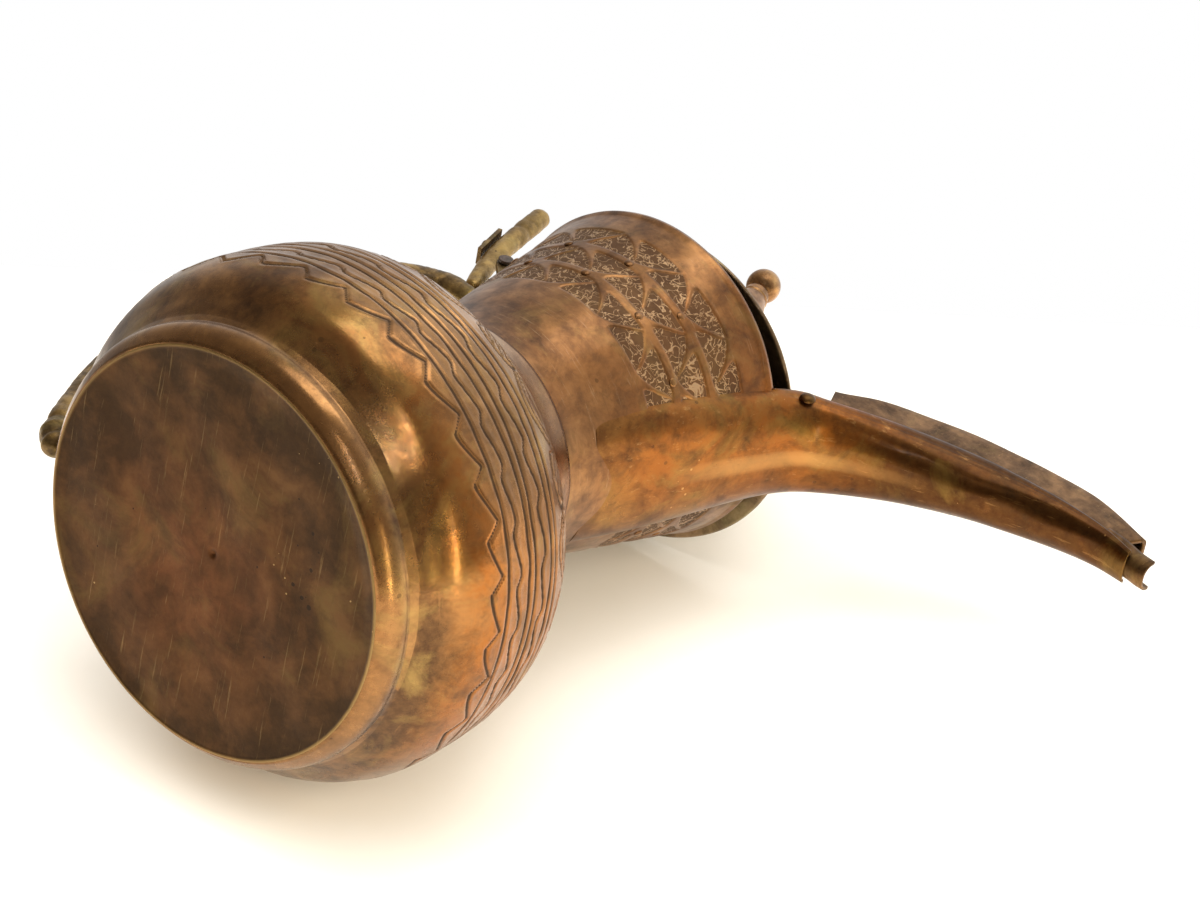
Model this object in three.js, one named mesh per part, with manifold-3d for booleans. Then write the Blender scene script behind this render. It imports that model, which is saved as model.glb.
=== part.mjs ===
// A dallah: an Arabic coffee pot of beaten brass sheet with a cast handle and a hinged lid.
// Millimetres, +Z up. The origin is the centre of the base plate's underside, the spout points
// to +X and the handle to -X. The lid is modelled lying on its hinge, tipped open by LID_REST.
import * as THREE from "three";
import { mergeVertices } from "three/addons/utils/BufferGeometryUtils.js";
import Module from "manifold-3d";

// Driving dimensions
const SHEET = 0.9;                 // brass sheet of the shells
const GAP = 0.3;                   // clearance between pieces that touch
const BASE_RADIUS = 56;            // outside of the foot rim
const BELLY_RADIUS = 70.7;         // widest part of the bulb
const WAIST_RADIUS = 35.3;         // narrowest part of the neck
const WAIST_HEIGHT = 103;          // seam between bulb and neck
const RIM_RADIUS = 46.9;           // outside of the mouth
const RIM_HEIGHT = 177.5;
const BASE_PLATE_THICKNESS = 1.2;
const LID_RADIUS = 46.6;           // edge of the lid's flange
const LID_REST = 6;                // degrees that the lid stands open on the spout's walls
const LID_SKEW = 2;                // degrees that the loose lid is turned aside on its pin
const LID_PLAY = 3.4;              // sideways slip of the lid along its pin
const FINIAL_LEAN_BACK = 12;       // degrees that the finial leans towards the hinge
const FINIAL_LEAN_ASIDE = 4;
const HINGE_X = -54;
const HINGE_Z = 178.8;
const PIN_RADIUS = 1.3;
const KNUCKLE_RADIUS = 2.6;
const HANDLE_LEAN = 3.3;           // degrees that the handle leans about the X axis
const HANDLE_MIDDLE_Z = 117;
const RIVET_RADIUS = 2.2;

const STEPS_ROUND = 40;            // facets round a shell
const STEPS_SMALL = 16;            // facets round a small turned piece

// ---------- materials ----------
const metal = (color, roughness) => new THREE.MeshStandardMaterial({ color, roughness, metalness: 1 });
const bulbBrass = metal("#8d5a2b", 0.34);
const baseBrass = metal("#54432c", 0.5);
const neckBrass = metal("#8a5c3c", 0.36);
const spoutBrass = metal("#a0642a", 0.33);
const hoodBrass = metal("#4a3a26", 0.5);
const handleBrass = metal("#3b3024", 0.55);
const lidBrass = metal("#6e5d44", 0.45);
const finialBrass = metal("#7a5638", 0.4);
const pinIron = metal("#3a3632", 0.6);

// ---------- geometry helpers ----------
const library = await Module();
library.setup();

const v2 = (x, y) => new THREE.Vector2(x, y);
const v3 = (x, y, z) => new THREE.Vector3(x, y, z);

// A smooth outline through a few points, as [x, y] pairs.
function smooth(pairs, steps) {
  return new THREE.SplineCurve(pairs.map(([x, y]) => v2(x, y))).getPoints(steps);
}

// The same outline moved to its left by a distance.
function offset(points, distance) {
  return points.map((point, i) => {
    const before = points[Math.max(i - 1, 0)];
    const after = points[Math.min(i + 1, points.length - 1)];
    const along = after.clone().sub(before).normalize();
    return v2(point.x - along.y * distance, point.y + along.x * distance);
  });
}

// A closed lathe profile for a sheet wall whose outside runs upwards.
function wall(outside, thickness = SHEET) {
  return [...outside, ...offset(outside, thickness).reverse(), outside[0].clone()];
}

function revolve(profile, steps = STEPS_ROUND) {
  return new THREE.LatheGeometry(profile, steps).rotateX(Math.PI / 2);
}

// Profile of a solid turned piece: [radius, height] pairs, closed on the axis.
function turned(pairs, steps = STEPS_SMALL) {
  return revolve(pairs.map(([r, z]) => v2(r, z)), steps);
}

function toSolid(geometry) {
  const bare = new THREE.BufferGeometry();
  bare.setAttribute("position", geometry.getAttribute("position").clone());
  if (geometry.index) bare.setIndex(geometry.index.clone());
  const merged = mergeVertices(bare, 1e-4);
  const triVerts = new Uint32Array(merged.index.array).filter((_, i, all) => {
    const t = i - (i % 3);
    return all[t] !== all[t + 1] && all[t + 1] !== all[t + 2] && all[t + 2] !== all[t];
  });
  const vertProperties = new Float32Array(merged.getAttribute("position").array);
  return new library.Manifold(new library.Mesh({ numProp: 3, vertProperties, triVerts }));
}

function toGeometry(solid) {
  const mesh = solid.getMesh();
  const geometry = new THREE.BufferGeometry();
  geometry.setAttribute("position", new THREE.BufferAttribute(mesh.vertProperties, 3));
  geometry.setIndex(new THREE.BufferAttribute(mesh.triVerts, 1));
  geometry.computeVertexNormals();
  return geometry;
}

const cut = (geometry, ...tools) =>
  toGeometry(tools.reduce((solid, tool) => solid.subtract(toSolid(tool)), toSolid(geometry)));
const join = (...geometries) =>
  toGeometry(geometries.map(toSolid).reduce((sum, solid) => sum.add(solid)));

// The biggest body that a cut leaves.
function largest(geometry) {
  const bodies = toSolid(geometry).decompose();
  return toGeometry(bodies.reduce((best, body) => (body.volume() > best.volume() ? body : best)));
}

// A closed solid through a row of rings that have the same number of points.
function loft(rings, capOutline) {
  const count = rings[0].length;
  const faces = [];
  for (let i = 0; i < rings.length - 1; i += 1) {
    for (let j = 0; j < count; j += 1) {
      const a = i * count + j;
      const b = i * count + ((j + 1) % count);
      faces.push(a, b, b + count, a, b + count, a + count);
    }
  }
  const last = (rings.length - 1) * count;
  const clockwise = THREE.ShapeUtils.isClockWise(capOutline);
  for (const triangle of THREE.ShapeUtils.triangulateShape(capOutline, [])) {
    const turnsBack = THREE.ShapeUtils.isClockWise(triangle.map((k) => capOutline[k])) !== clockwise;
    const [a, b, c] = turnsBack ? triangle.reverse() : triangle;
    faces.push(c, b, a, last + a, last + b, last + c);
  }
  const geometry = new THREE.BufferGeometry();
  const coordinates = rings.flat().flatMap((p) => p.toArray());
  geometry.setAttribute("position", new THREE.Float32BufferAttribute(coordinates, 3));
  geometry.setIndex(faces);
  return volume(geometry) < 0 ? flipped(geometry) : geometry;
}

function volume(geometry) {
  const position = geometry.getAttribute("position");
  const corner = (i) => new THREE.Vector3().fromBufferAttribute(position, geometry.index.getX(i));
  let sum = 0;
  for (let i = 0; i < geometry.index.count; i += 3) {
    sum += corner(i).dot(corner(i + 1).cross(corner(i + 2))) / 6;
  }
  return sum;
}

function flipped(geometry) {
  const faces = Array.from(geometry.index.array);
  for (let i = 0; i < faces.length; i += 3) [faces[i], faces[i + 1]] = [faces[i + 1], faces[i]];
  geometry.setIndex(faces);
  return geometry;
}

// A bar of oval section along a curve in the XZ plane. Each stop is [x, z, half depth, half width].
function bar(stops, steps, sides = 12) {
  const route = new THREE.CatmullRomCurve3(stops.map(([x, z]) => v3(x, 0, z)), false, "centripetal");
  const sizes = new THREE.SplineCurve(stops.map(([, , depth, width]) => v2(depth, width)));
  const rings = [];
  for (let i = 0; i <= steps; i += 1) {
    const t = i / steps;
    const at = route.getPoint(t);
    const along = route.getTangent(t);
    const size = sizes.getPoint(t);
    const rounded = Math.sqrt(Math.max(0.12, 1 - Math.max(0, (t - 1) * steps * 0.9 + 0.9) ** 2));
    const across = v3(-along.z, 0, along.x);
    rings.push(ovalRing(at, across, v3(0, 1, 0), size.x * rounded, size.y * rounded, sides));
  }
  return loft(rings, ovalOutline(sides));
}

function ovalRing(at, across, aside, depth, width, sides) {
  return ovalOutline(sides).map((p) =>
    at.clone().addScaledVector(across, p.x * depth).addScaledVector(aside, p.y * width));
}

function ovalOutline(sides) {
  return Array.from({ length: sides }, (_, i) => {
    const angle = (2 * Math.PI * i) / sides;
    return v2(Math.cos(angle), Math.sin(angle));
  });
}

// A flat plate in the XZ plane, centred on y, from [x, z] corners.
function plate(corners, y, thickness) {
  const shape = new THREE.Shape(corners.map(([x, z]) => v2(x, z)));
  return new THREE.ExtrudeGeometry(shape, { depth: thickness, bevelEnabled: false })
    .rotateX(Math.PI / 2)
    .translate(0, y + thickness / 2, 0);
}

function rod(radius, length, x, z, steps = STEPS_SMALL) {
  return new THREE.CylinderGeometry(radius, radius, length, steps).translate(x, 0, z);
}

const root = new THREE.Group();
function add(name, geometry, material, group = root) {
  const mesh = new THREE.Mesh(geometry, material);
  mesh.name = name;
  group.add(mesh);
  return mesh;
}

// ---------- bulb, base and neck ----------
const bulbOutline = smooth([
  [BASE_RADIUS, 0], [58.8, 3.2], [59.9, 6.2], [59.8, 9.4], [63.2, 14], [68.2, 21], [BELLY_RADIUS, 30],
  [BELLY_RADIUS - 0.4, 41], [68.9, 53], [65.2, 63], [58.2, 71.5], [48.5, 80.5], [40.4, 90],
  [36.2, WAIST_HEIGHT - 1.5],
], 19);
add("bulb_shell", revolve(wall(bulbOutline)), bulbBrass);

const plateRadius = BASE_RADIUS - SHEET - GAP - 0.35;
add("base_plate", turned([
  [0, 0], [plateRadius, 0], [plateRadius + 0.1, BASE_PLATE_THICKNESS], [0, BASE_PLATE_THICKNESS],
], STEPS_ROUND), baseBrass);

// The neck's lower end slips inside the bulb's collar, where it is brazed.
const neckOutline = smooth([
  [WAIST_RADIUS, WAIST_HEIGHT - 1], [35.4, 108], [36.3, 116], [38.2, 126], [40.9, 142], [43.9, 160],
  [RIM_RADIUS, RIM_HEIGHT],
], 8);
const collar = [v2(33.9, WAIST_HEIGHT - 7), v2(33.9, WAIST_HEIGHT - 1.6)];
const neckWall = revolve(wall([...collar, ...neckOutline]));

// Radius of the neck's outside at a height, straight between the outline's points.
function neckRadius(z) {
  const i = Math.max(1, neckOutline.findIndex((p) => p.y >= z));
  const [low, high] = [neckOutline[i - 1], neckOutline[i]];
  return low.x + ((high.x - low.x) * (z - low.y)) / (high.y - low.y);
}

// ---------- spout ----------
// The trough's stations: keel x, keel z, edge x, edge z, half width, from the neck to the tip.
const troughStations = [
  [36.3, 118, 27, 120, 20.2], [41, 134, 33, 137, 19.6], [45.5, 150, 36.5, 154, 18.7],
  [50, 165, 40, 171, 17.4], [55, 178.5, 46.5, 185, 15.7], [64, 187.5, 54, 192, 14],
  [80, 197, 71, 203.7, 11.4], [96, 203.5, 90, 212.4, 9.3], [108, 208.4, 104, 215.8, 8.3],
  [122, 212.3, 119.5, 217.8, 7.1], [134, 214, 133, 217.8, 6], [144, 213.2, 144, 215.4, 5.1],
];

function spoutPoint(list, t) {
  const columns = list[0].map((_, k) => list.map((row) => row[k]));
  const place = Math.min(t, 1) * (list.length - 1);
  const i = Math.min(Math.floor(place), list.length - 2);
  const w = place - i;
  return columns.map((c) => {
    const [a, b, d, e] = [c[Math.max(i - 1, 0)], c[i], c[i + 1], c[Math.min(i + 2, c.length - 1)]];
    return b + 0.5 * w * (d - a + w * (2 * a - 5 * b + 4 * d - e + w * (3 * (b - d) + e - a)));
  });
}

// Half of a round-bottomed trough section as [aside, up] in units of half width and depth.
function troughArc(steps, inset, half, depth) {
  const points = [];
  for (let i = 0; i <= steps; i += 1) {
    const angle = (Math.PI * i) / steps;
    const [c, s] = [Math.cos(angle), Math.sin(angle)];
    const aside = Math.sign(c) * Math.abs(c) ** 0.85 * (half - inset);
    points.push(v2(-aside, depth - s ** 0.85 * (depth - inset)));
  }
  return points;
}

// Rings along the trough whose section outline comes from a function of half width and depth.
function alongSpout(list, from, to, steps, section) {
  const rings = [];
  for (let i = 0; i <= steps; i += 1) {
    const [keelX, keelZ, edgeX, edgeZ, half] = spoutPoint(list, from + ((to - from) * i) / steps);
    const up = v3(edgeX - keelX, 0, edgeZ - keelZ);
    const depth = up.length();
    up.normalize();
    rings.push(section(half, depth).map((p) => v3(keelX, p.x, keelZ).addScaledVector(up, p.y)));
  }
  return loft(rings, section(10, 10));
}

const ARC_STEPS = 8;
const troughSkin = (half, depth) =>
  [...troughArc(ARC_STEPS, 0, half, depth), ...troughArc(ARC_STEPS, SHEET, half, depth).reverse()];
const troughFill = (half, depth) => troughArc(ARC_STEPS, SHEET, half, depth);
const neckFill = revolve([
  v2(0, 60), v2(WAIST_RADIUS + GAP, 60), ...offset(neckOutline, -GAP),
  v2(RIM_RADIUS + GAP + 0.2, 260), v2(0, 260),
]);
add("spout_trough", cut(alongSpout(troughStations, 0, 1, 18, troughSkin), neckFill), spoutBrass);

// The neck is cut away inside the spout, up to a band that keeps the rim whole.
const WINDOW_LOW = 0.22;
const WINDOW_HIGH = 0.36;
const windowCutter = alongSpout(
  troughStations.map(([kx, kz, ex, ez, half]) => [kx - 1, kz, ex - 14, ez + 4, half - 4]),
  WINDOW_LOW, WINDOW_HIGH, 4, troughFill);
const windowLimit = new THREE.BoxGeometry(60, 60, 34).translate(40, 0, 152);
const windowTool = toGeometry(toSolid(windowCutter).intersect(toSolid(windowLimit)));
add("neck_shell", cut(neckWall, windowTool), neckBrass);

// The hood closes the trough's top. Its walls stand inside the trough's walls.
// Stations: low x, low z, top x, top z, half width.
const HOOD_INSET = SHEET + GAP;
const hoodStations = [
  [54.5, 190.2, 50.2, 199.6, 14.4], [64, 195.5, 58.8, 209.4, 12.8], [80, 204.5, 73.6, 219, 10.8],
  [96, 210, 89.8, 225.8, 9.2], [110, 213.4, 105, 229.2, 8.1], [125, 215.4, 121.4, 231, 6.8],
  [138, 215.6, 142, 226.8, 5.2],
].map(([lx, lz, tx, tz, half]) => [lx, lz, tx, tz, half - HOOD_INSET]);
const crown = 0.8;
const hoodArch = (half, height, inset) => [
  v2(-half + inset, 0), v2(-half + inset, height - crown - inset), v2(-half * 0.55, height - inset),
  v2(half * 0.55, height - inset), v2(half - inset, height - crown - inset), v2(half - inset, 0),
];
const hoodSkin = (half, height) => [...hoodArch(half, height, 0), ...hoodArch(half, height, SHEET).reverse()];
const hood = alongSpout(hoodStations, 0, 1, 14, hoodSkin);

// The pouring lip is the hood's lower jaw, a short trough that runs on past the main one.
const lipStations = [
  [133, 215.2, 133, 220.6, 6.2], [139, 214.8, 139.6, 220.2, 5.7], [144.6, 213.4, 145, 218.8, 5.4],
  [148, 212.8, 148.6, 218, 5.5], [150.4, 213, 150.6, 217.6, 5.6],
].map(([kx, kz, ex, ez, half]) => [kx, kz, ex, ez, half - HOOD_INSET]);
const lip = alongSpout(lipStations, 0, 1, 8, troughSkin);
const troughRoom = alongSpout(troughStations, 0.3, 1, 18, (half, depth) => [
  ...troughArc(ARC_STEPS, -GAP - 0.5, half, depth + GAP),
  ...troughArc(ARC_STEPS, SHEET + GAP, half, depth + GAP).reverse(),
]);
add("spout_hood", largest(cut(join(hood, lip), troughRoom)), hoodBrass);

// ---------- fasteners ----------
// A domed rivet head whose flat side lies on a surface at a point, facing along a direction.
function rivet(name, at, facing, material, { radius = RIVET_RADIUS, height = 1.3, group = root } = {}) {
  const mesh = add(name, turned([
    [0, 0], [radius, 0], [radius * 0.95, height * 0.4], [radius * 0.7, height * 0.8], [0, height],
  ], 12), material, group);
  mesh.position.copy(at);
  mesh.quaternion.setFromUnitVectors(v3(0, 0, 1), facing.clone().normalize());
  return mesh;
}

rivet("spout_rivet", v3(51, -15.1 - GAP, 184.5), v3(0.1, -1, -0.1), spoutBrass);

// ---------- handle ----------
// The mounting plate follows the neck's outside between two heights and is held by four rivets.
const PLATE_LOW = 148;
const PLATE_HIGH = 171;
const PLATE_THICKNESS = 1.4;
const PLATE_SPREAD = 0.26;         // radians to each side of the handle's plane
const plateOutline = [PLATE_LOW, 156, 164, PLATE_HIGH]
  .map((z) => v2(neckRadius(z) + GAP + PLATE_THICKNESS, z));
const plateProfile = wall(plateOutline, PLATE_THICKNESS);
const sectorRings = [];
for (let i = 0; i <= 8; i += 1) {
  const angle = Math.PI - PLATE_SPREAD + (2 * PLATE_SPREAD * i) / 8;
  sectorRings.push(plateProfile.slice(0, -1).map((p) =>
    v3(Math.cos(angle) * p.x, Math.sin(angle) * p.x, p.y)));
}
add("handle_plate", loft(sectorRings, plateProfile.slice(0, -1)), handleBrass);
for (const [i, z] of [PLATE_LOW + 4, PLATE_HIGH - 4].entries()) {
  for (const side of [-1, 1]) {
    const angle = Math.PI + side * PLATE_SPREAD * 0.72;
    const out = v3(Math.cos(angle), Math.sin(angle), 0);
    const name = `handle_rivet_${i ? "upper" : "lower"}_${side < 0 ? "right" : "left"}`;
    const seat = neckRadius(z) + PLATE_THICKNESS + 2 * GAP + 0.25;
    const at = out.clone().multiplyScalar(seat).setZ(z);
    rivet(name, at, out.clone().setZ(-0.16), handleBrass, { radius: 1.8 });
  }
}

// The cast handle leans a little to one side, so its pieces share one tilted group.
const handle = new THREE.Group();
handle.position.set(0, 0, HANDLE_MIDDLE_Z);
handle.rotation.x = THREE.MathUtils.degToRad(HANDLE_LEAN);
root.add(handle);
const handleStops = [
  [-48, 160.5, 3.2, 3], [-55, 162.6, 3.5, 3.3], [-64, 161.3, 3.4, 3.6], [-76, 151, 3.4, 4],
  [-85.5, 128, 3.5, 4.3], [-90, 100, 3.6, 4.5], [-90.6, 72, 3.6, 4.5], [-86, 50, 3.6, 4.4],
  [-79.4, 33, 3.6, 4.1], [-74.2, 22, 3.8, 4.2], [-69, 14.2, 4.1, 4.4], [-64.4, 10.8, 3.9, 4.2],
];
const grip = bar(handleStops, 28, 10);
add("handle_grip", grip.translate(0, 0, -HANDLE_MIDDLE_Z), handleBrass, handle);

// The thumb rest stands on the grip's inner end and limits how far the lid falls back.
const thumbStops = [
  [-55.4, 167.2, 1.9, 2.3], [-58.6, 174, 2.1, 2.6], [-62.8, 185, 2.5, 2.9], [-66, 197, 2.8, 3.1],
  [-68.8, 209, 2.8, 3.1], [-70.6, 217, 2.7, 3],
];
add("thumb_rest", bar(thumbStops, 11, 10).translate(0, 0, -HANDLE_MIDDLE_Z), handleBrass, handle);
const backing = plate([[-65.7, 182.8], [-69.6, 196.6], [-70.8, 196.2], [-66.9, 182.4]], 0, 5.6)
  .translate(0, 0, -HANDLE_MIDDLE_Z);
add("thumb_plate", backing, handleBrass, handle);
rivet("thumb_rivet", v3(-69.15, 0, 189 - HANDLE_MIDDLE_Z), v3(-0.955, 0, -0.295), handleBrass,
  { radius: 1.7, group: handle });

// ---------- hinge ----------
const LUG_INNER = 6.8;
const LUG_THICKNESS = 2;
const lugCorners = [[-48.2, 172.4], [-51.4, 172.4]];
for (let i = 0; i <= 8; i += 1) {
  const angle = Math.PI * (1.15 - (1.3 * i) / 8);
  lugCorners.push([HINGE_X + KNUCKLE_RADIUS * Math.cos(angle), HINGE_Z + KNUCKLE_RADIUS * Math.sin(angle)]);
}
lugCorners.push([-50.8, 176], [-48.2, 175.2]);
const lugOffset = LUG_INNER + LUG_THICKNESS / 2;
const webCorners = [[-47, 171.6], [-49.4, 171.6], [-49.4, 175], [-47, 175]];
const web = plate(webCorners, 0, 2 * (LUG_INNER + LUG_THICKNESS));
const pinHole = rod(PIN_RADIUS + GAP, 30, HINGE_X, HINGE_Z);
const lugs = [-lugOffset, lugOffset].map((y) => plate(lugCorners, y, LUG_THICKNESS));
add("hinge_bracket", cut(join(...lugs, web), pinHole), handleBrass);
const pinHeads = [-9.6, 9.6].map((y) => rod(KNUCKLE_RADIUS - 0.4, 1, HINGE_X, HINGE_Z).translate(0, y, 0));
add("hinge_pin", join(rod(PIN_RADIUS, 20, HINGE_X, HINGE_Z), ...pinHeads), pinIron);

// ---------- lid ----------
// Drawn closed, with its flange flat on the rim, inside a group that turns about the hinge.
const lid = new THREE.Group();
lid.position.set(HINGE_X, LID_PLAY, HINGE_Z);
lid.rotation.set(0, THREE.MathUtils.degToRad(-LID_REST), THREE.MathUtils.degToRad(LID_SKEW), "YXZ");
root.add(lid);
const addToLid = (name, geometry, material) =>
  add(name, geometry.translate(-HINGE_X, 0, -HINGE_Z), material, lid);

const FLANGE_Z = RIM_HEIGHT + GAP;
const FLANGE_THICKNESS = 1.1;
const DOME_RADIUS = 38;
const DOME_TOP_Z = FLANGE_Z + 37;
const HOLE_RADIUS = 3;
const ringProfile = (inner, outer, low, high) =>
  [v2(outer, low), v2(outer, high), v2(inner, high), v2(inner, low), v2(outer, low)];
addToLid("lid_flange", revolve(
  ringProfile(DOME_RADIUS + GAP, LID_RADIUS, FLANGE_Z, FLANGE_Z + FLANGE_THICKNESS)), lidBrass);

const domeOutline = smooth([
  [DOME_RADIUS, FLANGE_Z], [DOME_RADIUS - 0.6, FLANGE_Z + 4], [34, FLANGE_Z + 13], [26.5, FLANGE_Z + 21],
  [18, FLANGE_Z + 28], [11.5, FLANGE_Z + 34], [HOLE_RADIUS, DOME_TOP_Z],
], 10);
addToLid("lid_dome", revolve(wall(domeOutline)), lidBrass);

// The finial's pieces are threaded on its peg, which leans in the dome's worn hole.
const finial = new THREE.Group();
finial.position.set(-HINGE_X, 0, DOME_TOP_Z - HINGE_Z);
finial.rotation.x = THREE.MathUtils.degToRad(FINIAL_LEAN_ASIDE);
finial.rotation.y = THREE.MathUtils.degToRad(-FINIAL_LEAN_BACK);
lid.add(finial);
const PEG_RADIUS = 1.9;
const COLLAR_LOW = 1.1;
const SPIRE_LOW = 3.8;
const SPIRE_TOP = 33;
const collarProfile = ringProfile(PEG_RADIUS + GAP, 8, COLLAR_LOW, SPIRE_LOW - GAP);
add("finial_collar", revolve(collarProfile, 24), finialBrass, finial);
add("finial_spire", turned([
  [0, -5.5], [PEG_RADIUS, -5.5], [PEG_RADIUS, SPIRE_LOW], [7, SPIRE_LOW], [7.5, SPIRE_LOW + 2.6],
  [7.2, SPIRE_LOW + 9], [6.2, SPIRE_LOW + 16], [4.6, SPIRE_LOW + 23], [3.5, SPIRE_TOP], [0, SPIRE_TOP],
], 20), finialBrass, finial);
add("finial_washer", revolve(ringProfile(PEG_RADIUS + GAP, 5.5, -4.6, -3.6), 20), lidBrass, finial);
const KNOB_RADIUS = 5.1;
const knobProfile = [];
for (let i = 0; i <= 8; i += 1) {
  const angle = -Math.PI / 2 + (Math.PI * i) / 8;
  knobProfile.push([KNOB_RADIUS * Math.cos(angle), SPIRE_TOP + GAP + 4.7 * (1 + Math.sin(angle))]);
}
add("finial_knob", turned(knobProfile), finialBrass, finial);

// The hinge strap: a knuckle on the pin and a flat tongue riveted to the flange.
const TONGUE_LOW = FLANGE_Z + FLANGE_THICKNESS + GAP;
const TONGUE_HIGH = TONGUE_LOW + 1.5;
const TONGUE_END = -39.4;
const tongue = plate([
  [HINGE_X, TONGUE_LOW], [TONGUE_END, TONGUE_LOW], [TONGUE_END, TONGUE_HIGH], [HINGE_X, TONGUE_HIGH],
], 0, 6);
const knuckle = rod(KNUCKLE_RADIUS, 6, HINGE_X, HINGE_Z, 20);
addToLid("lid_strap", cut(join(knuckle, tongue), pinHole), handleBrass);
for (const [i, x] of [-45.2, -41.6].entries()) {
  rivet(`lid_rivet_${i + 1}`, v3(x - HINGE_X, 0, TONGUE_HIGH + GAP - HINGE_Z), v3(0, 0, 1), handleBrass,
    { radius: 1.4, height: 1, group: lid });
}

export default root;
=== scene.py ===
import math

import bpy
import numpy as np
from mathutils import Matrix, Vector


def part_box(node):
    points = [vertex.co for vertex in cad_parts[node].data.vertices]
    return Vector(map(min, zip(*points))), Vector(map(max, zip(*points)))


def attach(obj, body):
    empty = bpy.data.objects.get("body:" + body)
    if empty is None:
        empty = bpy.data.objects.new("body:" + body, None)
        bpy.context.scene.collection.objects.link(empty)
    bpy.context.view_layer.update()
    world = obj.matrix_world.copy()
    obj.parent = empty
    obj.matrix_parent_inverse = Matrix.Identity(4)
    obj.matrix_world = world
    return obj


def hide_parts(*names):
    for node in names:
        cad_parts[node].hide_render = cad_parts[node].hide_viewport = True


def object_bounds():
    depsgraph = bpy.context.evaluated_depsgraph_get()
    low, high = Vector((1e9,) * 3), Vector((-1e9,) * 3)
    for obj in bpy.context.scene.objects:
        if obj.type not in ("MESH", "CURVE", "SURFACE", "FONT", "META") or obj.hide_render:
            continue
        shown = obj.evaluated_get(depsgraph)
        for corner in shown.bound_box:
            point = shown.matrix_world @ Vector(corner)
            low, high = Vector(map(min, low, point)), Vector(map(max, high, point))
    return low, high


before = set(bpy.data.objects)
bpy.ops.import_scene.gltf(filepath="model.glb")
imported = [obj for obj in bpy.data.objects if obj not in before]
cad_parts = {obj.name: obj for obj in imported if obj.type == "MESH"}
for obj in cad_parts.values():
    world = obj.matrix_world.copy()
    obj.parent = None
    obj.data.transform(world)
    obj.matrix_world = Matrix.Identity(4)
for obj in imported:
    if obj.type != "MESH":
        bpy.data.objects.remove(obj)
cad_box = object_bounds()
MM = 0.001

# The camera: a long lens that looks up under the foot of the pot, which lies on its side. In the
# pot's own frame the viewer stands in front, to the right and far below, with the head turned.
VIEW_UP = Vector((-0.4444, -0.8531, 0.2732))
VIEW_BACK = Vector((0.4793, -0.4841, -0.7321)).normalized()
VIEW_RIGHT = VIEW_UP.cross(VIEW_BACK).normalized()
VIEWPOINT = Vector((0.6751, -0.6600, -0.8650))
lens = bpy.data.cameras.new("camera")
lens.lens = 150
lens.sensor_width = 36
lens.clip_start = 0.05
camera = bpy.data.objects.new("camera", lens)
axes = Matrix((VIEW_RIGHT, VIEW_BACK.cross(VIEW_RIGHT), VIEW_BACK)).transposed().to_4x4()
camera.matrix_world = Matrix.Translation(VIEWPOINT) @ axes
bpy.context.scene.collection.objects.link(camera)
bpy.context.scene.camera = camera
bpy.context.scene.view_settings.view_transform = "Standard"


# The floor: a sheet of white board that the pot lies on, against the side of its belly and the edge
# of its lid. It shows from above only, so that it doesn't hide the pot from views behind it, and it
# glows faintly, so that the place where the belly touches it isn't black in those views.
def node(tree, kind, wires=None, **settings):
    """Adds a node. wires maps an input to a value or to the socket that feeds it."""
    made = tree.nodes.new(kind)
    for key, value in settings.items():
        setattr(made, key, value)
    for socket, value in (wires or {}).items():
        if isinstance(value, bpy.types.NodeSocket):
            tree.links.new(value, made.inputs[socket])
        else:
            made.inputs[socket].default_value = value
    return made


def output_of(tree, kind, wires=None, output=0, **settings):
    """Adds a node and gives one of its outputs."""
    return node(tree, kind, wires, **settings).outputs[output]


def math_node(tree, operation, first, second=0.0, third=0.0):
    wires = {0: first, 1: second, 2: third}
    return output_of(tree, "ShaderNodeMath", wires, operation=operation, use_clamp=False)


def ramp(tree, factor, stops):
    """A colour ramp from (place, colour) pairs."""
    made = node(tree, "ShaderNodeValToRGB", {"Fac": factor})
    elements = made.color_ramp.elements
    elements[0].position, elements[0].color = stops[0][0], (*stops[0][1], 1)
    elements[1].position, elements[1].color = stops[-1][0], (*stops[-1][1], 1)
    for place, color in stops[1:-1]:
        elements.new(place).color = (*color, 1)
    return made.outputs["Color"]


def noise(tree, coordinates, scale, detail=5.0, roughness=0.55, distortion=0.0):
    wires = {"Vector": coordinates, "Scale": scale, "Detail": detail, "Roughness": roughness,
             "Distortion": distortion}
    return output_of(tree, "ShaderNodeTexNoise", wires, "Fac")


FLOOR_UP = Vector((-0.06, -0.99, -0.135)).normalized()
FLOOR_GAP = 0.4 * MM
FLOOR_SHIFT = 0.05
FLOOR_HALF_WIDTH, FLOOR_NEAR, FLOOR_FAR = 0.8, -0.26, 1.0
BOARD_GRAIN = [(0.0, (0.80, 0.78, 0.735)), (1.0, (0.83, 0.815, 0.785))]
BOARD_GLOW = (0.12, 0.103, 0.074, 1)

lowest = min(FLOOR_UP.dot(v.co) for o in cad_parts.values() for v in o.data.vertices)
side = (VIEW_RIGHT - FLOOR_UP * VIEW_RIGHT.dot(FLOOR_UP)).normalized()
ahead = side.cross(FLOOR_UP)
middle = FLOOR_UP * (lowest - FLOOR_GAP) + side * FLOOR_SHIFT
corners = [middle + side * across + ahead * along for across, along in (
    (-FLOOR_HALF_WIDTH, FLOOR_NEAR), (FLOOR_HALF_WIDTH, FLOOR_NEAR),
    (FLOOR_HALF_WIDTH, FLOOR_FAR), (-FLOOR_HALF_WIDTH, FLOOR_FAR))]
if (corners[1] - corners[0]).cross(corners[2] - corners[1]).dot(FLOOR_UP) < 0:
    corners.reverse()
floor_mesh = bpy.data.meshes.new("floor")
floor_mesh.from_pydata(corners, [], [(0, 1, 2, 3)])
floor = bpy.data.objects.new("floor", floor_mesh)
bpy.context.scene.collection.objects.link(floor)

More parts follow.
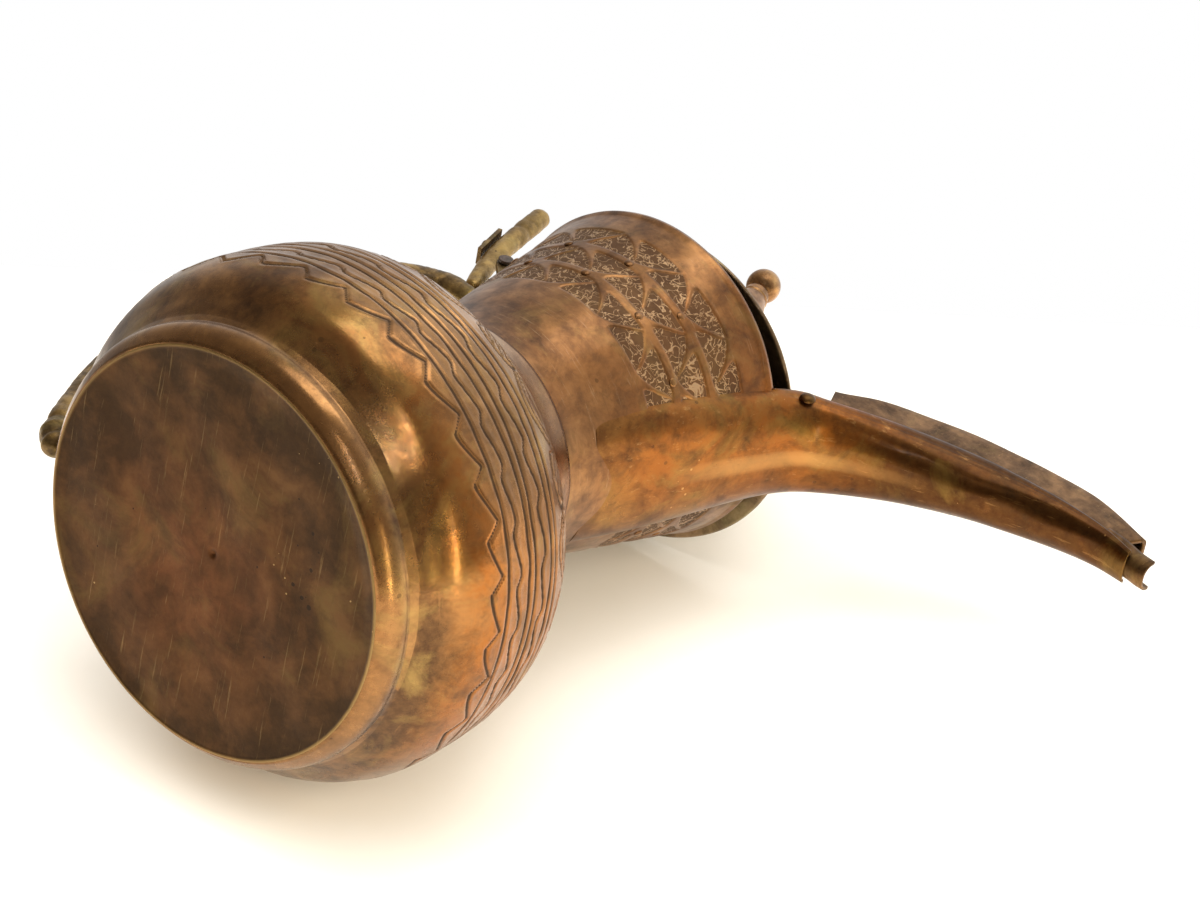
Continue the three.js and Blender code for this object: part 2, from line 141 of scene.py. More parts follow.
board = bpy.data.materials.new("white_board")
board.use_nodes = True
tree = board.node_tree
tree.nodes.clear()
grain = noise(tree, output_of(tree, "ShaderNodeTexCoord", output="Object"), 60.0, 3.0, 0.5)
paper = output_of(tree, "ShaderNodeBsdfDiffuse", {"Color": ramp(tree, grain, BOARD_GRAIN)})
glow = output_of(tree, "ShaderNodeEmission", {"Color": BOARD_GLOW, "Strength": 1.0})
paper = output_of(tree, "ShaderNodeAddShader", {0: paper, 1: glow})
clear = output_of(tree, "ShaderNodeBsdfTransparent")
from_below = output_of(tree, "ShaderNodeNewGeometry", output="Backfacing")
seen = output_of(tree, "ShaderNodeMixShader", {0: from_below, 1: paper, 2: clear})
node(tree, "ShaderNodeOutputMaterial", {"Surface": seen})
floor_mesh.materials.append(board)

# The light: a room that is bright beyond the pot and to its right, and dim behind the viewer. The
# ceiling and the two fills don't mirror in the brass: they light the board and the dirt in the cuts.
# A soft lamp overhead and two narrow ones beside the viewer draw the highlights and the streaks.
BRIGHT_SIDE = (VIEW_RIGHT * 0.55 - VIEW_BACK * 0.65 + FLOOR_UP * 0.35).normalized()
ROOM = [(0.15, (0.19, 0.165, 0.14)), (0.42, (0.28, 0.245, 0.21)), (0.64, (0.52, 0.48, 0.43)),
        (0.95, (1.15, 1.17, 1.20))]
world = bpy.data.worlds.new("studio")
bpy.context.scene.world = world
world.use_nodes = True
tree = world.node_tree
tree.nodes.clear()
towards = output_of(tree, "ShaderNodeTexCoord", output="Generated")
nearness = output_of(tree, "ShaderNodeVectorMath", {0: towards, 1: BRIGHT_SIDE}, "Value",
                     operation="DOT_PRODUCT")
across_room = output_of(tree, "ShaderNodeMapRange", {"Value": nearness, "From Min": -1.0, "From Max": 1.0})
soft = output_of(tree, "ShaderNodeBackground", {"Color": ramp(tree, across_room, ROOM), "Strength": 1.0})
white = output_of(tree, "ShaderNodeBackground", {"Color": (1, 1, 1, 1), "Strength": 1.0})
to_camera = output_of(tree, "ShaderNodeLightPath", output="Is Camera Ray")
sky = output_of(tree, "ShaderNodeMixShader", {0: to_camera, 1: soft, 2: white})
node(tree, "ShaderNodeOutputWorld", {"Surface": sky})


def softbox(name, direction, distance, size, power, color, mirrored=True):
    """A rectangular lamp that faces the pot, its second size along the viewer's upward direction."""
    light = bpy.data.lights.new(name, "AREA")
    light.shape = "RECTANGLE"
    light.size, light.size_y = size
    light.energy = power
    light.color = color
    lamp = bpy.data.objects.new(name, light)
    away = direction.normalized()
    across = VIEW_UP.cross(away).normalized()
    turn = Matrix((across, away.cross(across), away)).transposed().to_4x4()
    lamp.matrix_world = Matrix.Translation((cad_box[0] + cad_box[1]) / 2 + away * distance) @ turn
    lamp.visible_glossy = mirrored
    lamp.visible_camera = False
    bpy.context.scene.collection.objects.link(lamp)


softbox("ceiling", FLOOR_UP - VIEW_RIGHT * 0.25 + VIEW_BACK * 0.1, distance=1.4, size=(2.0, 1.6),
        power=30, color=(1.0, 0.99, 0.97), mirrored=False)
softbox("fill_right", FLOOR_UP * 0.3 + VIEW_RIGHT * 0.8 - VIEW_UP * 0.2, distance=1.2, size=(1.2, 0.8),
        power=16, color=(1.0, 0.88, 0.66), mirrored=False)
softbox("fill_front", FLOOR_UP * 0.3 + VIEW_BACK * 0.8 - VIEW_UP * 0.3, distance=1.2, size=(1.2, 0.8),
        power=9, color=(1.0, 0.90, 0.72), mirrored=False)
softbox("overhead", FLOOR_UP - VIEW_BACK * 0.25 + VIEW_RIGHT * 0.2, distance=1.3, size=(1.1, 0.6),
        power=4.2, color=(1.0, 0.97, 0.93))
softbox("beside", VIEW_BACK * 0.95 + VIEW_RIGHT * 0.12 + VIEW_UP * 0.27, distance=1.1, size=(0.03, 0.34),
        power=0.6, color=(0.95, 0.97, 1.0))
softbox("low", VIEW_BACK * 0.74 + VIEW_RIGHT * 0.41 - VIEW_UP * 0.50, distance=1.1, size=(0.04, 0.80),
        power=2.2, color=(1.0, 0.86, 0.55))

# The bulb: a bowl of brass sheet, beaten out over a flaring foot and drawn in to the waist. Its
# upper half is engraved by hand: a row of points, ruled and scalloped lines, and a shoulder border.
SHEET = 0.9
BASE_RADIUS = 56.0
BULB_STOPS = [(BASE_RADIUS, 0), (58.8, 3.2), (59.9, 6.2), (59.8, 9.4), (63.2, 14), (68.2, 21), (70.7, 30),
              (70.3, 41), (68.9, 53), (65.2, 63), (58.2, 71.5), (48.5, 80.5), (40.4, 90), (36.2, 101.5)]
ENGRAVED_FROM, ENGRAVED_TO = 24.0, 74.0
CUT_SPACING = 0.64
BULB_COLUMNS = 660


def spline(stops, density=40):
    """A smooth line through stops of any width, with density points in each span."""
    stops = np.array(stops, float)
    padded = np.vstack([stops[0], stops, stops[-1]])
    t = np.linspace(0, 1, density, endpoint=False)[:, None]
    spans = []
    for i in range(len(stops) - 1):
        a, b, c, d = padded[i:i + 4]
        spans.append(b + 0.5 * t * (c - a + t * (2 * a - 5 * b + 4 * c - d + t * (3 * (b - c) + d - a))))
    return np.vstack([*spans, stops[-1:]])


def resampled(line, spacing):
    """Points along a line whose spacing comes from a function of the height."""
    run = np.concatenate([[0], np.cumsum(np.linalg.norm(np.diff(line, axis=0), axis=1))])
    places = [0.0]
    while places[-1] < run[-1]:
        places.append(places[-1] + spacing(np.interp(places[-1], run, line[:, 1])))
    places = np.array(places) * run[-1] / places[-1]
    return np.stack([np.interp(places, run, line[:, k]) for k in range(line.shape[1])], axis=1)


def outward(line):
    """Unit normals of a profile whose outside lies to the right of its way up."""
    along = np.gradient(line, axis=0)
    along /= np.linalg.norm(along, axis=1)[:, None]
    return np.stack([along[:, 1], -along[:, 0]], axis=1)


def grid_mesh(name, points, close_rows=True, caps=False):
    """A mesh through rows of points that each go round. close_rows joins the last row to the first."""
    rows, columns = points.shape[:2]
    index = np.arange(rows * columns).reshape(rows, columns)
    below = index if close_rows else index[:-1]
    above = np.roll(index, -1, axis=0) if close_rows else index[1:]
    quads = np.stack([below, np.roll(below, -1, 1), np.roll(above, -1, 1), above], axis=-1).reshape(-1, 4)
    faces = quads.tolist()
    if caps:
        faces += [index[0][::-1].tolist(), index[-1].tolist()]
    mesh = bpy.data.meshes.new(name)
    mesh.from_pydata((points.reshape(-1, 3) * MM).tolist(), [], faces)
    mesh.polygons.foreach_set("use_smooth", [True] * len(mesh.polygons))
    piece = bpy.data.objects.new(name, mesh)
    bpy.context.scene.collection.objects.link(piece)
    return piece


def revolved(profile, angles):
    """Rows of points: each [radius, height] of the profile taken round at the angles."""
    c, s = np.cos(angles), np.sin(angles)
    radius, height = profile[:, 0][:, None], profile[:, 1][:, None]
    return np.stack([radius * c, radius * s, height + 0 * c], axis=-1)


def mark(piece, name, values):
    """Stores one number for each vertex, for the material to read."""
    attribute = piece.data.attributes.new(name, "FLOAT", "POINT")
    attribute.data.foreach_set("value", np.asarray(values, np.float32))


def wobble(angle, seed, size=1.0, terms=6):
    """A hand's unsteadiness round the pot, within about plus or minus size."""
    random = np.random.default_rng(seed)
    waves = [np.sin(k * angle + random.uniform(0, 6.28)) * random.uniform(0.3, 1) / k ** 0.5
             for k in range(2, 2 + terms)]
    return size * sum(waves) / terms ** 0.5


def groove(distance, width):
    """1 along a cut line, falling evenly to 0 at its width."""
    return np.clip(1 - np.abs(distance) / width, 0, 1)


POINTS_ROUND = 30
MOTIFS_ROUND = 11
HOOK_PEAK = 0.72
# Each line round the bulb: its height, and the number and the height of its scallops, if it has any.
LINES_ON_BULB = [(34.0, 0, 0), (38.4, 31, 1.9), (42.8, 0, 0), (46.0, 0, 0), (49.6, 28, 1.7), (53.2, 0, 0),
                 (56.0, 0, 0), (72.4, 0, 0)]


def sawtooth(phase):
    """Up slowly to 1 at the peak of each turn, and quickly down again."""
    return np.where(phase < HOOK_PEAK, phase / HOOK_PEAK, (1 - phase) / (1 - HOOK_PEAK))


def points_row(angle, z):
    """The hooked points along the lowest line."""
    phase = (angle * POINTS_ROUND / (2 * np.pi) + 0.16 * wobble(angle, 1) + 0.10 * wobble(angle * 5, 3)) % 1
    hook = np.where(phase < HOOK_PEAK, sawtooth(phase) ** 1.6, sawtooth(phase))
    reach = 4.2 + 0.9 * wobble(angle * 4, 4)
    return groove((z - 27.6 - reach * hook - 0.9 * wobble(angle, 2)) * 0.8, 1.1) * 0.92


def shoulder_border(angle, z, radius):
    """The motifs of the shoulder: a hatched oval and a double leaf, by turns."""
    cell = (angle * MOTIFS_ROUND / (2 * np.pi) + 0.1 + 0.08 * wobble(angle, 50)) % 1 - 0.5
    u = cell * 2 * np.pi * radius / MOTIFS_ROUND
    v = (z - 63.4 - 0.4 * wobble(angle, 51)) * 1.45
    oval = np.hypot((u + 11.5) / 1.5, v)
    hatch = np.abs((u * 0.6 + v * 0.55) % 2.6 - 1.3)
    motifs = [groove(oval - 5.0, 1.2), groove(hatch, 1.0) * (oval < 3.6) * 0.9]
    for length, breadth in ((12, 5.6), (8, 2.6)):
        outline = breadth * np.clip(1 - ((u - 5.5) / length) ** 2, -0.3, 1)
        leaf = groove(np.abs(v + 1.2 * np.sin(u * 0.25)) - outline, 1.2)
        motifs.append(leaf * (np.abs(u - 5.5) < length * 1.05))
    return motifs


def lines_on_bulb(angle, z, radius):
    """How near each place on the bulb is to a cut of the graver: 1 on a cut, 0 away from it."""
    cuts = [points_row(angle, z)]
    for seed, (low, scallops, step) in enumerate(LINES_ON_BULB):
        line_z = low + 0.8 * wobble(angle, 10 + seed) + 0.28 * wobble(angle * 7, 20 + seed)
        if scallops:
            rise = sawtooth((angle * scallops / (2 * np.pi) + 0.2 * wobble(angle, 30 + seed)) % 1)
            line_z = line_z + step * rise ** 2 * (3 - 2 * rise) - step / 2
        cuts.append(groove(z - line_z, 1.2))
    return np.clip(np.max(cuts + shoulder_border(angle, z, radius), axis=0), 0, 1)


def relief(height_map):
    """A blurred copy of a map, for the swelling of the sheet beside its cuts."""
    spread = height_map
    for _ in range(4):
        spread = (spread + np.roll(spread, 1, 1) + np.roll(spread, -1, 1)) / 3
        spread = (spread + np.roll(spread, 1, 0) + np.roll(spread, -1, 0)) / 3
    return spread


def beaten(angle, z, size):
    """The slow unevenness that the hammer leaves in the sheet."""
    return size * (np.sin(3 * angle + 0.06 * z) * 0.5 + np.sin(7 * angle - 0.11 * z + 1) * 0.3
                   + np.sin(13 * angle + 0.21 * z + 2) * 0.16 + np.sin(23 * angle - 0.3 * z + 4) * 0.1)


def turned_away(angles, middle):
    """How far round each angle lies from a middle one, from minus half a turn to half a turn."""
    return (angles - middle + np.pi) % (2 * np.pi) - np.pi


bulb_line = resampled(spline(BULB_STOPS), lambda z: CUT_SPACING if ENGRAVED_FROM < z < ENGRAVED_TO else 1.3)
inner_line = resampled(spline(BULB_STOPS), lambda z: 9.0)
bulb_angles = np.linspace(0, 2 * np.pi, BULB_COLUMNS, endpoint=False)
bulb_outside = revolved(bulb_line, bulb_angles)
heights = bulb_outside[:, :, 2]
cuts = lines_on_bulb(bulb_angles[None, :] + 0 * heights, heights, bulb_line[:, 0][:, None])
swell = relief(cuts)
deep = np.clip(cuts * 2 - 0.8, 0, 1)
push = beaten(bulb_angles[None, :], heights, 0.16) - 0.40 * deep + 0.34 * np.clip(swell * 1.6 - deep, 0, 1)
foot_fade = np.clip(heights / 8, 0, 1)
bulb_outside = bulb_outside + revolved(outward(bulb_line), bulb_angles) * (push * foot_fade)[:, :, None]
bulb_inside = revolved((inner_line - outward(inner_line) * SHEET)[::-1], bulb_angles)
bulb = grid_mesh("bulb", np.concatenate([bulb_outside, bulb_inside]))


def mark_bulb(name, values):
    """Marks the outside of the bulb, and leaves its inside plain."""
    mark(bulb, name, np.concatenate([values, np.zeros(bulb_inside.shape[:2])]).ravel())


# Hands have worn the ridges beside the cuts and the lip of the foot, which are also painted lighter as
# highlights.
# Heat has flushed the side below the spout and a belt over the foot, and painted shade darkens the hollow
# over the foot.
low_side = np.exp(-(turned_away(bulb_angles[None, :], 0.15) / 0.6) ** 2)
# Painted highlights on the ridges beside the cuts and on the lip of the foot, together with wear, lighten
# the brass towards tan.
worn_and_highlit = 0.30 * np.clip((heights - 30) / 12, 0, 1) + 0.40 * np.clip(swell * 1.4 - deep, 0, 1)
worn_and_highlit = worn_and_highlit * (1 - 0.5 * low_side) + 0.35 * np.exp(-((heights - 3.0) / 2.2) ** 2)
around = turned_away(bulb_angles[None, :], -0.65)
front = np.exp(-(around / 0.9) ** 2)
flush = 0.8 * front * np.exp(-((heights - 24 - 3 * np.sin(2 * around)) / 8) ** 2)
flush += 0.3 * front * np.exp(-(heights / 5) ** 2)
flush = np.clip(flush + 0.85 * low_side * np.clip((heights - 16) / 10, 0, 1), 0, 0.95)
upper = np.exp(-((bulb_angles[None, :] + 1.75) / 0.8) ** 2)
# Painted shade and light in the tone: darker in the hollow over the foot and on the side below the spout,
# lighter on the upward side low on the belly, and a little darker over the front of the belly.
painted_shade_and_light = -0.12 * np.exp(-((heights - 14) / 6) ** 2)
painted_shade_and_light = painted_shade_and_light + 0.15 * upper * np.clip((34 - heights) / 8, 0, 1)
painted_shade_and_light -= 0.12 * np.exp(-((heights - 50) / 14) ** 2) * front
painted_shade_and_light -= 0.45 * low_side * np.clip((heights - 20) / 12, 0, 1)
painted_shade_and_light -= 0.6 * low_side * np.exp(-((heights - 13) / 5) ** 2)
mark_bulb("cut", cuts)
mark_bulb("wear_and_highlight", worn_and_highlit)
mark_bulb("warm", flush)
mark_bulb("shade", painted_shade_and_light)


def stretched(tree, coordinates, scale):
    """Coordinates squeezed more along one axis than another, for drawn-out marks."""
    return output_of(tree, "ShaderNodeMapping", {"Vector": coordinates, "Scale": scale}, "Vector")


def between(tree, value, low, high, to_low=0.0, to_high=1.0):
    wires = {"Value": value, "From Min": low, "From Max": high, "To Min": to_low, "To Max": to_high}
    return output_of(tree, "ShaderNodeMapRange", wires, "Result", clamp=True)


def mixed(tree, factor, first, second):
    first, second = [(*c, 1) if isinstance(c, tuple) else c for c in (first, second)]
    wires = {0: factor, 6: first, 7: second}
    return output_of(tree, "ShaderNodeMix", wires, 2, data_type="RGBA")


def dots(tree, coordinates, scale, size):
    """1 inside scattered round dots of the given size, 0 outside them."""
    wires = {"Vector": coordinates, "Scale": scale, "Randomness": 1.0}
    return math_node(tree, "LESS_THAN", output_of(tree, "ShaderNodeTexVoronoi", wires, "Distance"), size)


def brass(name, tones, patch=26.0, mottle=110.0, dull=0.45, shiny=0.26, film=0.4,
          scratch_scale=(60, 60, 1500), scratches=0.5, pits=0.4, grime=(0.03, 0.018, 0.010),
          tan=(0.62, 0.40, 0.20), rough=0.25, bare=1.0, orange=(0.46, 0.145, 0.028), veined=False):
    """Old brass: three tones in patches and mottling, tarnish, fine scratches, flecks, pits and a film.

    The attributes cut, raised, warm and shade say where it is dirty, where worn and painted with highlights,
    where flushed orange, and where shifted darker and lighter, mostly by painted shade and light.
    patch, mottle and scratch_scale are how fine its markings are, tan is its worn colour, and dull and
    shiny are its roughness in dark and in bright places. veined leaves bright lines in deep cuts."""
    material = bpy.data.materials.new(name)
    material.use_nodes = True
    tree = material.node_tree
    tree.nodes.clear()
    coordinates = output_of(tree, "ShaderNodeTexCoord", output="Object")
    cut, wear_and_highlight, warm, shade = [output_of(tree, "ShaderNodeAttribute", output="Fac", attribute_name=label)
                                for label in ("cut", "wear_and_highlight", "warm", "shade")]
    patches = noise(tree, coordinates, patch, 4.0, 0.6, 0.8)
    mottling = noise(tree, coordinates, mottle, 7.0, 0.66, 0.3)
    grain = noise(tree, coordinates, 1300.0, 3.0)
    fine = noise(tree, coordinates, 420.0, 6.0, 0.7)
    mix = math_node(tree, "MULTIPLY_ADD", mottling, 0.45, math_node(tree, "MULTIPLY", patches, 0.55))
    tone = math_node(tree, "ADD", between(tree, mix, 0.40, 0.60), shade)
    color = ramp(tree, tone, [(0.0, tones[0]), (0.5, tones[1]), (1.0, tones[2])])
    heat = math_node(tree, "MULTIPLY", warm, between(tree, mottling, 0.34, 0.56, 0.35, 1.0))
    color = mixed(tree, heat, color, orange)
    golden = (tones[2][0], tones[2][1] * 1.25, tones[2][2] * 1.05)
    gilding = noise(tree, coordinates, 38.0, 6.0, 0.65, 1.0)
    color = mixed(tree, between(tree, gilding, 0.52, 0.68, 0.0, 0.6), color, golden)
    tarnish = noise(tree, coordinates, mottle * 0.6, 9.0, 0.75, 0.5)
    color = mixed(tree, between(tree, tarnish, 0.50, 0.66, 0.0, 0.55), color, grime)
    color = mixed(tree, between(tree, fine, 0.35, 0.75, 0.0, 0.25), color, tones[2])
    color = mixed(tree, between(tree, wear_and_highlight, 0.0, 1.0, 0.0, 0.8), color, tan)
    lines = noise(tree, stretched(tree, coordinates, scratch_scale), 1.0, 5.0, 0.7)
    color = mixed(tree, between(tree, lines, 0.60, 0.72, 0.0, scratches), color, tan)
    color = mixed(tree, between(tree, lines, 0.40, 0.30, 0.0, scratches * 0.6), color, tones[0])
    fleck_size = between(tree, noise(tree, coordinates, 60.0), 0.55, 0.75, 0.0, 0.16)
    fleck = dots(tree, coordinates, 330.0, fleck_size)
    color = mixed(tree, math_node(tree, "MULTIPLY", fleck, 0.7), color, tan)
    pit_size = between(tree, noise(tree, coordinates, 45.0), 0.52, 0.7, 0.0, 0.22)
    pit = math_node(tree, "MULTIPLY", dots(tree, coordinates, 210.0, pit_size), pits)
    color = mixed(tree, pit, color, grime)
    edge = math_node(tree, "MULTIPLY_ADD", math_node(tree, "SUBTRACT", fine, 0.5), 0.3, cut)
    filled = between(tree, edge, 0.42, 0.72, 0.0, 0.93)
    bumps = math_node(tree, "MULTIPLY_ADD", fine, rough, math_node(tree, "MULTIPLY", grain, rough * 0.5))
    if veined:
        veins = 0.0
        for scale in (230.0, 380.0):
            swirls = noise(tree, coordinates, scale, 2.0, 0.4, 0.7)
            off_line = math_node(tree, "ABSOLUTE", math_node(tree, "SUBTRACT", swirls, 0.5))
            veins = math_node(tree, "MAXIMUM", between(tree, off_line, 0.024, 0.006), veins)
        veins = math_node(tree, "MULTIPLY", veins, between(tree, cut, 0.45, 0.6))
        filled = math_node(tree, "MULTIPLY", filled, between(tree, veins, 0.0, 1.0, 0.92, 0.1))
        color = mixed(tree, math_node(tree, "MULTIPLY", veins, 0.8), color, tan)
        bumps = math_node(tree, "MULTIPLY_ADD", veins, 2.5, bumps)
    color = mixed(tree, filled, color, grime)
    roughness = between(tree, mix, 0.40, 0.60, dull, shiny)
    roughness = math_node(tree, "MULTIPLY_ADD", grain, 0.08, roughness)
    roughness = math_node(tree, "MULTIPLY_ADD", filled, 0.3, roughness)
    bumps = math_node(tree, "MULTIPLY_ADD", lines, 0.5 * scratches, bumps)
    bumps = math_node(tree, "SUBTRACT", bumps, pit)
    bump = node(tree, "ShaderNodeBump", {"Height": bumps, "Strength": 0.35, "Distance": 0.25 * MM})
    metal = between(tree, filled, 0.0, 1.0, bare, bare * 0.4)
    shader = node(tree, "ShaderNodeBsdfPrincipled", {
        "Base Color": color, "Metallic": metal, "Roughness": roughness, "Normal": bump.outputs["Normal"],
        "Specular IOR Level": between(tree, filled, 0.0, 1.0, 0.5, 0.12),
        "Coat Weight": between(tree, filled, 0.0, 1.0, film, 0.0),
        "Coat Roughness": between(tree, mottling, 0.35, 0.65, 0.22, 0.07)})
    node(tree, "ShaderNodeOutputMaterial", {"Surface": shader.outputs[0]})
    return material


def dress(piece, material, body, slot, *nodes):
    """Gives a piece its finish and its body, and lets it stand for CAD nodes."""
    piece.data.materials.clear()
    piece.data.materials.append(material)
    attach(piece, body)
    if nodes:
        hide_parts(*nodes)


bulb_brass = brass("bulb_brass", [(0.085, 0.042, 0.019), (0.22, 0.108, 0.040), (0.42, 0.22, 0.080)],
                   patch=20.0, scratch_scale=(50, 50, 900), scratches=0.28, dull=0.31, shiny=0.15,
                   tan=(0.46, 0.235, 0.090), orange=(0.35, 0.115, 0.018), film=0.16)
dress(bulb, bulb_brass, "pot", "bulb_brass", "bulb_shell")

# The base plate: a disc of brass sheet let into the foot and soldered there. It has sagged a
# little, carries a pit where the compass stood, and has gone dull and mottled in the fire.
FACE_RADIUS = 54.4
PLATE_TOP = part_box("base_plate")[1].z / MM
disc_angles = np.linspace(0, 2 * np.pi, 240, endpoint=False)
face_radii = np.concatenate([[0.05], np.linspace(0.4, 4, 10), np.linspace(5, FACE_RADIUS, 62)])
bead = np.array([[54.7, 0.0], [55.0, -0.14], [55.4, -0.2], [55.8, -0.1], [56.02, 0.2], [55.9, 0.6],
                 [55.0, 0.9]])
face = np.vstack([np.stack([face_radii, 0 * face_radii], axis=1), bead])
under = revolved(face, disc_angles)
x, y = under[:, :, 0], under[:, :, 1]
sag = 0.22 * np.sin(x * 0.09 + 1) * np.sin(y * 0.08) + 0.12 * np.sin(x * 0.21 - y * 0.15) + 0.3
compass_pit = 0.75 * np.exp(-((x - 0.5) ** 2 + (y + 0.4) ** 2) / 0.9)
inside_bead = np.clip((FACE_RADIUS + 0.2 - np.hypot(x, y)) / 3, 0, 1)
under[:, :, 2] += (np.clip(sag, 0, 0.6) + compass_pit) * inside_bead
over = revolved(np.array([[55.0, PLATE_TOP], [0.05, PLATE_TOP]]), disc_angles)
disc_places = np.concatenate([under, over])
base = grid_mesh("base_disc", disc_places, close_rows=False, caps=True)
from_centre = np.hypot(disc_places[:, :, 0], disc_places[:, :, 1])
from_flush = (disc_places[:, :, 0] + 6) ** 2 + (disc_places[:, :, 1] - 8) ** 2
edge_grime = np.clip(from_centre / BASE_RADIUS, 0, 1) ** 3 * (from_centre < 55)
# A thin ring round the rim of the disc is painted bright as a highlight.
mark(base, "wear_and_highlight", (0.9 * np.exp(-((from_centre - 55.7) / 0.4) ** 2)).ravel())
mark(base, "warm", (0.55 * np.exp(-from_flush / 900)).ravel())
mark(base, "shade", (-0.35 * edge_grime).ravel())
base_brass = brass("base_brass", [(0.050, 0.026, 0.010), (0.090, 0.042, 0.015), (0.135, 0.066, 0.023)],
                   patch=34.0, mottle=80.0, scratch_scale=(900, 40, 40), scratches=0.30, dull=0.60,
                   shiny=0.46, pits=0.9, tan=(0.50, 0.33, 0.13), rough=0.5, orange=(0.19, 0.062, 0.022),
                   film=0.08)
dress(base, base_brass, "pot", "base_brass", "base_plate")

# The neck: a tapering sleeve of brass sheet brazed into the bulb's collar. A band of slanting
# leaves is chased round it: their grounds are sunk, matted and scrolled, with plain ribbons between.
NECK_STOPS = [(35.3, 102), (35.4, 108), (36.3, 116), (38.2, 126), (40.9, 142), (43.9, 160), (46.9, 177.5)]
BAND_FROM, BAND_TO = 131.5, 167.5
LEAVES_ROUND = 25
BAND_ROWS = 3


def leaves_on_neck(angle, z):
    """How deep the matted ground of the leaves is, 0 to 1: wings that point up and down by turns."""
    row_height = (BAND_TO - BAND_FROM) / BAND_ROWS
    drift = (z - BAND_FROM) / row_height + 0.07 * wobble(angle, 60)
    row = np.clip(np.floor(drift), 0, BAND_ROWS - 1)
    v = np.clip(drift - row, 0, 1)
    turn = angle * LEAVES_ROUND / (2 * np.pi) + 0.45 * row + 0.05 * wobble(angle, 61)
    cell = np.floor(turn + 0.5)
    wings = []
    for shift in (-1, 0, 1):
        u = turn - cell - shift
        pointed_down = (cell + shift + row) % 2 > 0
        width = np.where(pointed_down, v ** 0.8, 1 - v ** 1.25)
        lean = np.where(pointed_down, 0.45, -0.45) * (v - 0.5) * np.abs(v - 0.5) * 2 + 0.10 * np.sin(3 * v)
        sides, ends = width - 0.11 - np.abs(u - lean), 1.1 * (0.42 - np.abs(v - 0.5))
        wings.append(-0.05 * np.logaddexp(-sides / 0.05, -ends / 0.05))
    return np.clip(np.max(wings, axis=0) / 0.06, 0, 1)


def flushed(places):
    """How orange the brass of the neck and the spout has turned at places on them, and their painted shade
    and light: darker towards the spout's end, lighter on the upward side.
    """
    angle = np.arctan2(places[..., 1], places[..., 0])
    run = np.clip((places[..., 0] - 56) / 22, 0, 1)
    low = np.exp(-((angle + 0.15) / 0.42) ** 2) * np.clip((places[..., 2] - 112) / 20, 0, 1)
    warm = low * (0.80 - 0.70 * run) + 0.25 * np.exp(-((angle + 0.9) / 0.35) ** 2)
    # Painted shade darkens the spout towards its end; painted light brightens the upward side of the neck
    # and the spout.
    shade = -0.75 * run + 0.10 * np.exp(-((angle + 1.5) / 0.5) ** 2)
    return warm, shade


def neck_radius(z):
    line = spline(NECK_STOPS)
    return np.interp(z, line[:, 1], line[:, 0])


neck_line = resampled(spline(NECK_STOPS), lambda z: 0.44 if BAND_FROM - 2 < z < BAND_TO + 2 else 1.1)
collar = np.array([[33.9, 96.0], [33.9, 99.0], [34.4, 101.4]])
neck_line = np.vstack([collar, neck_line])
neck_inner_line = resampled(np.vstack([collar, spline(NECK_STOPS)]), lambda z: 4.0)
neck_angles = np.linspace(0, 2 * np.pi, 640, endpoint=False)
neck_outside = revolved(neck_line, neck_angles)
neck_heights = neck_outside[:, :, 2]
rim_roll = 0.5 * np.exp(-((neck_heights - 176.6) / 0.9) ** 2)
dents = beaten(neck_angles[None, :] + 0.7, neck_heights, 0.10) * np.clip((neck_heights - 104) / 8, 0, 1)
neck_outside += revolved(outward(neck_line), neck_angles) * (dents + rim_roll - 0.2)[:, :, None]
neck_inside = revolved((neck_inner_line - outward(neck_inner_line) * SHEET)[::-1], neck_angles)
neck = grid_mesh("neck", np.concatenate([neck_outside, neck_inside]))


def arc_section(half, depth, inset, steps):
    """A round-bottomed trough's section as [aside, up], from one edge under the keel to the other."""
    angle = np.linspace(0, np.pi, steps)
    aside = -np.sign(np.cos(angle)) * np.abs(np.cos(angle)) ** 0.85 * (half - inset)
    return np.stack([aside, depth - np.sin(angle) ** 0.85 * (depth - inset)], axis=1)


def along_spout(stations, section, density=14):
    """Rings of points along the spout. Stations are [keel x, keel z, edge x, edge z, half width]."""
    rings = []
    for keel_x, keel_z, edge_x, edge_z, half in spline(stations, density):
        up = np.array([edge_x - keel_x, edge_z - keel_z])
        depth = np.hypot(*up)
        outline = section(half, depth)
        rise_x, rise_z = up / depth
        rings.append(np.stack([keel_x + rise_x * outline[:, 1], outline[:, 0],
                               keel_z + rise_z * outline[:, 1]], axis=1))
    return np.array(rings)


TROUGH = [(34.6, 113, 26, 116, 20.4), (36.4, 119, 28, 122, 20.2), (41, 134, 33, 137, 19.6),
          (45.5, 150, 36.5, 154, 18.7), (50, 165, 40, 171, 17.4), (55, 178.5, 46.5, 185, 15.7),
          (64, 187.5, 54, 192, 14), (80, 197, 71, 203.7, 11.4), (96, 203.5, 90, 212.4, 9.3),
          (108, 208.4, 104, 215.8, 8.3), (122, 212.3, 119.5, 217.8, 7.1), (134, 214, 133, 217.8, 6),
          (144, 213.2, 144, 215.4, 5.1)]


def carved(piece, tool):
    """Cuts a piece with a closed tool mesh, which is used up, and leaves a plain mesh."""
    modifier = piece.modifiers.new("cut", "BOOLEAN")
    modifier.operation, modifier.solver, modifier.object = "DIFFERENCE", "MANIFOLD", tool
    bpy.context.view_layer.update()
    result = bpy.data.meshes.new_from_object(piece.evaluated_get(bpy.context.evaluated_depsgraph_get()))
    piece.modifiers.clear()
    piece.data = result
    bpy.data.objects.remove(tool)
    return piece


# The sheet is cut away where the spout meets it, from above the foot of the trough to below the rim.
window_stations = [(keel_x - 1, keel_z, edge_x - 16, edge_z + 5, half - 4)
                   for keel_x, keel_z, edge_x, edge_z, half in TROUGH[3:6]]
window_stations[-1] = (50.5, 168.5, 30, 172, 13.0)
window = along_spout(window_stations, lambda half, depth: arc_section(half, depth, SHEET, 24), 6)
carved(neck, grid_mesh("window", window, close_rows=False, caps=True))

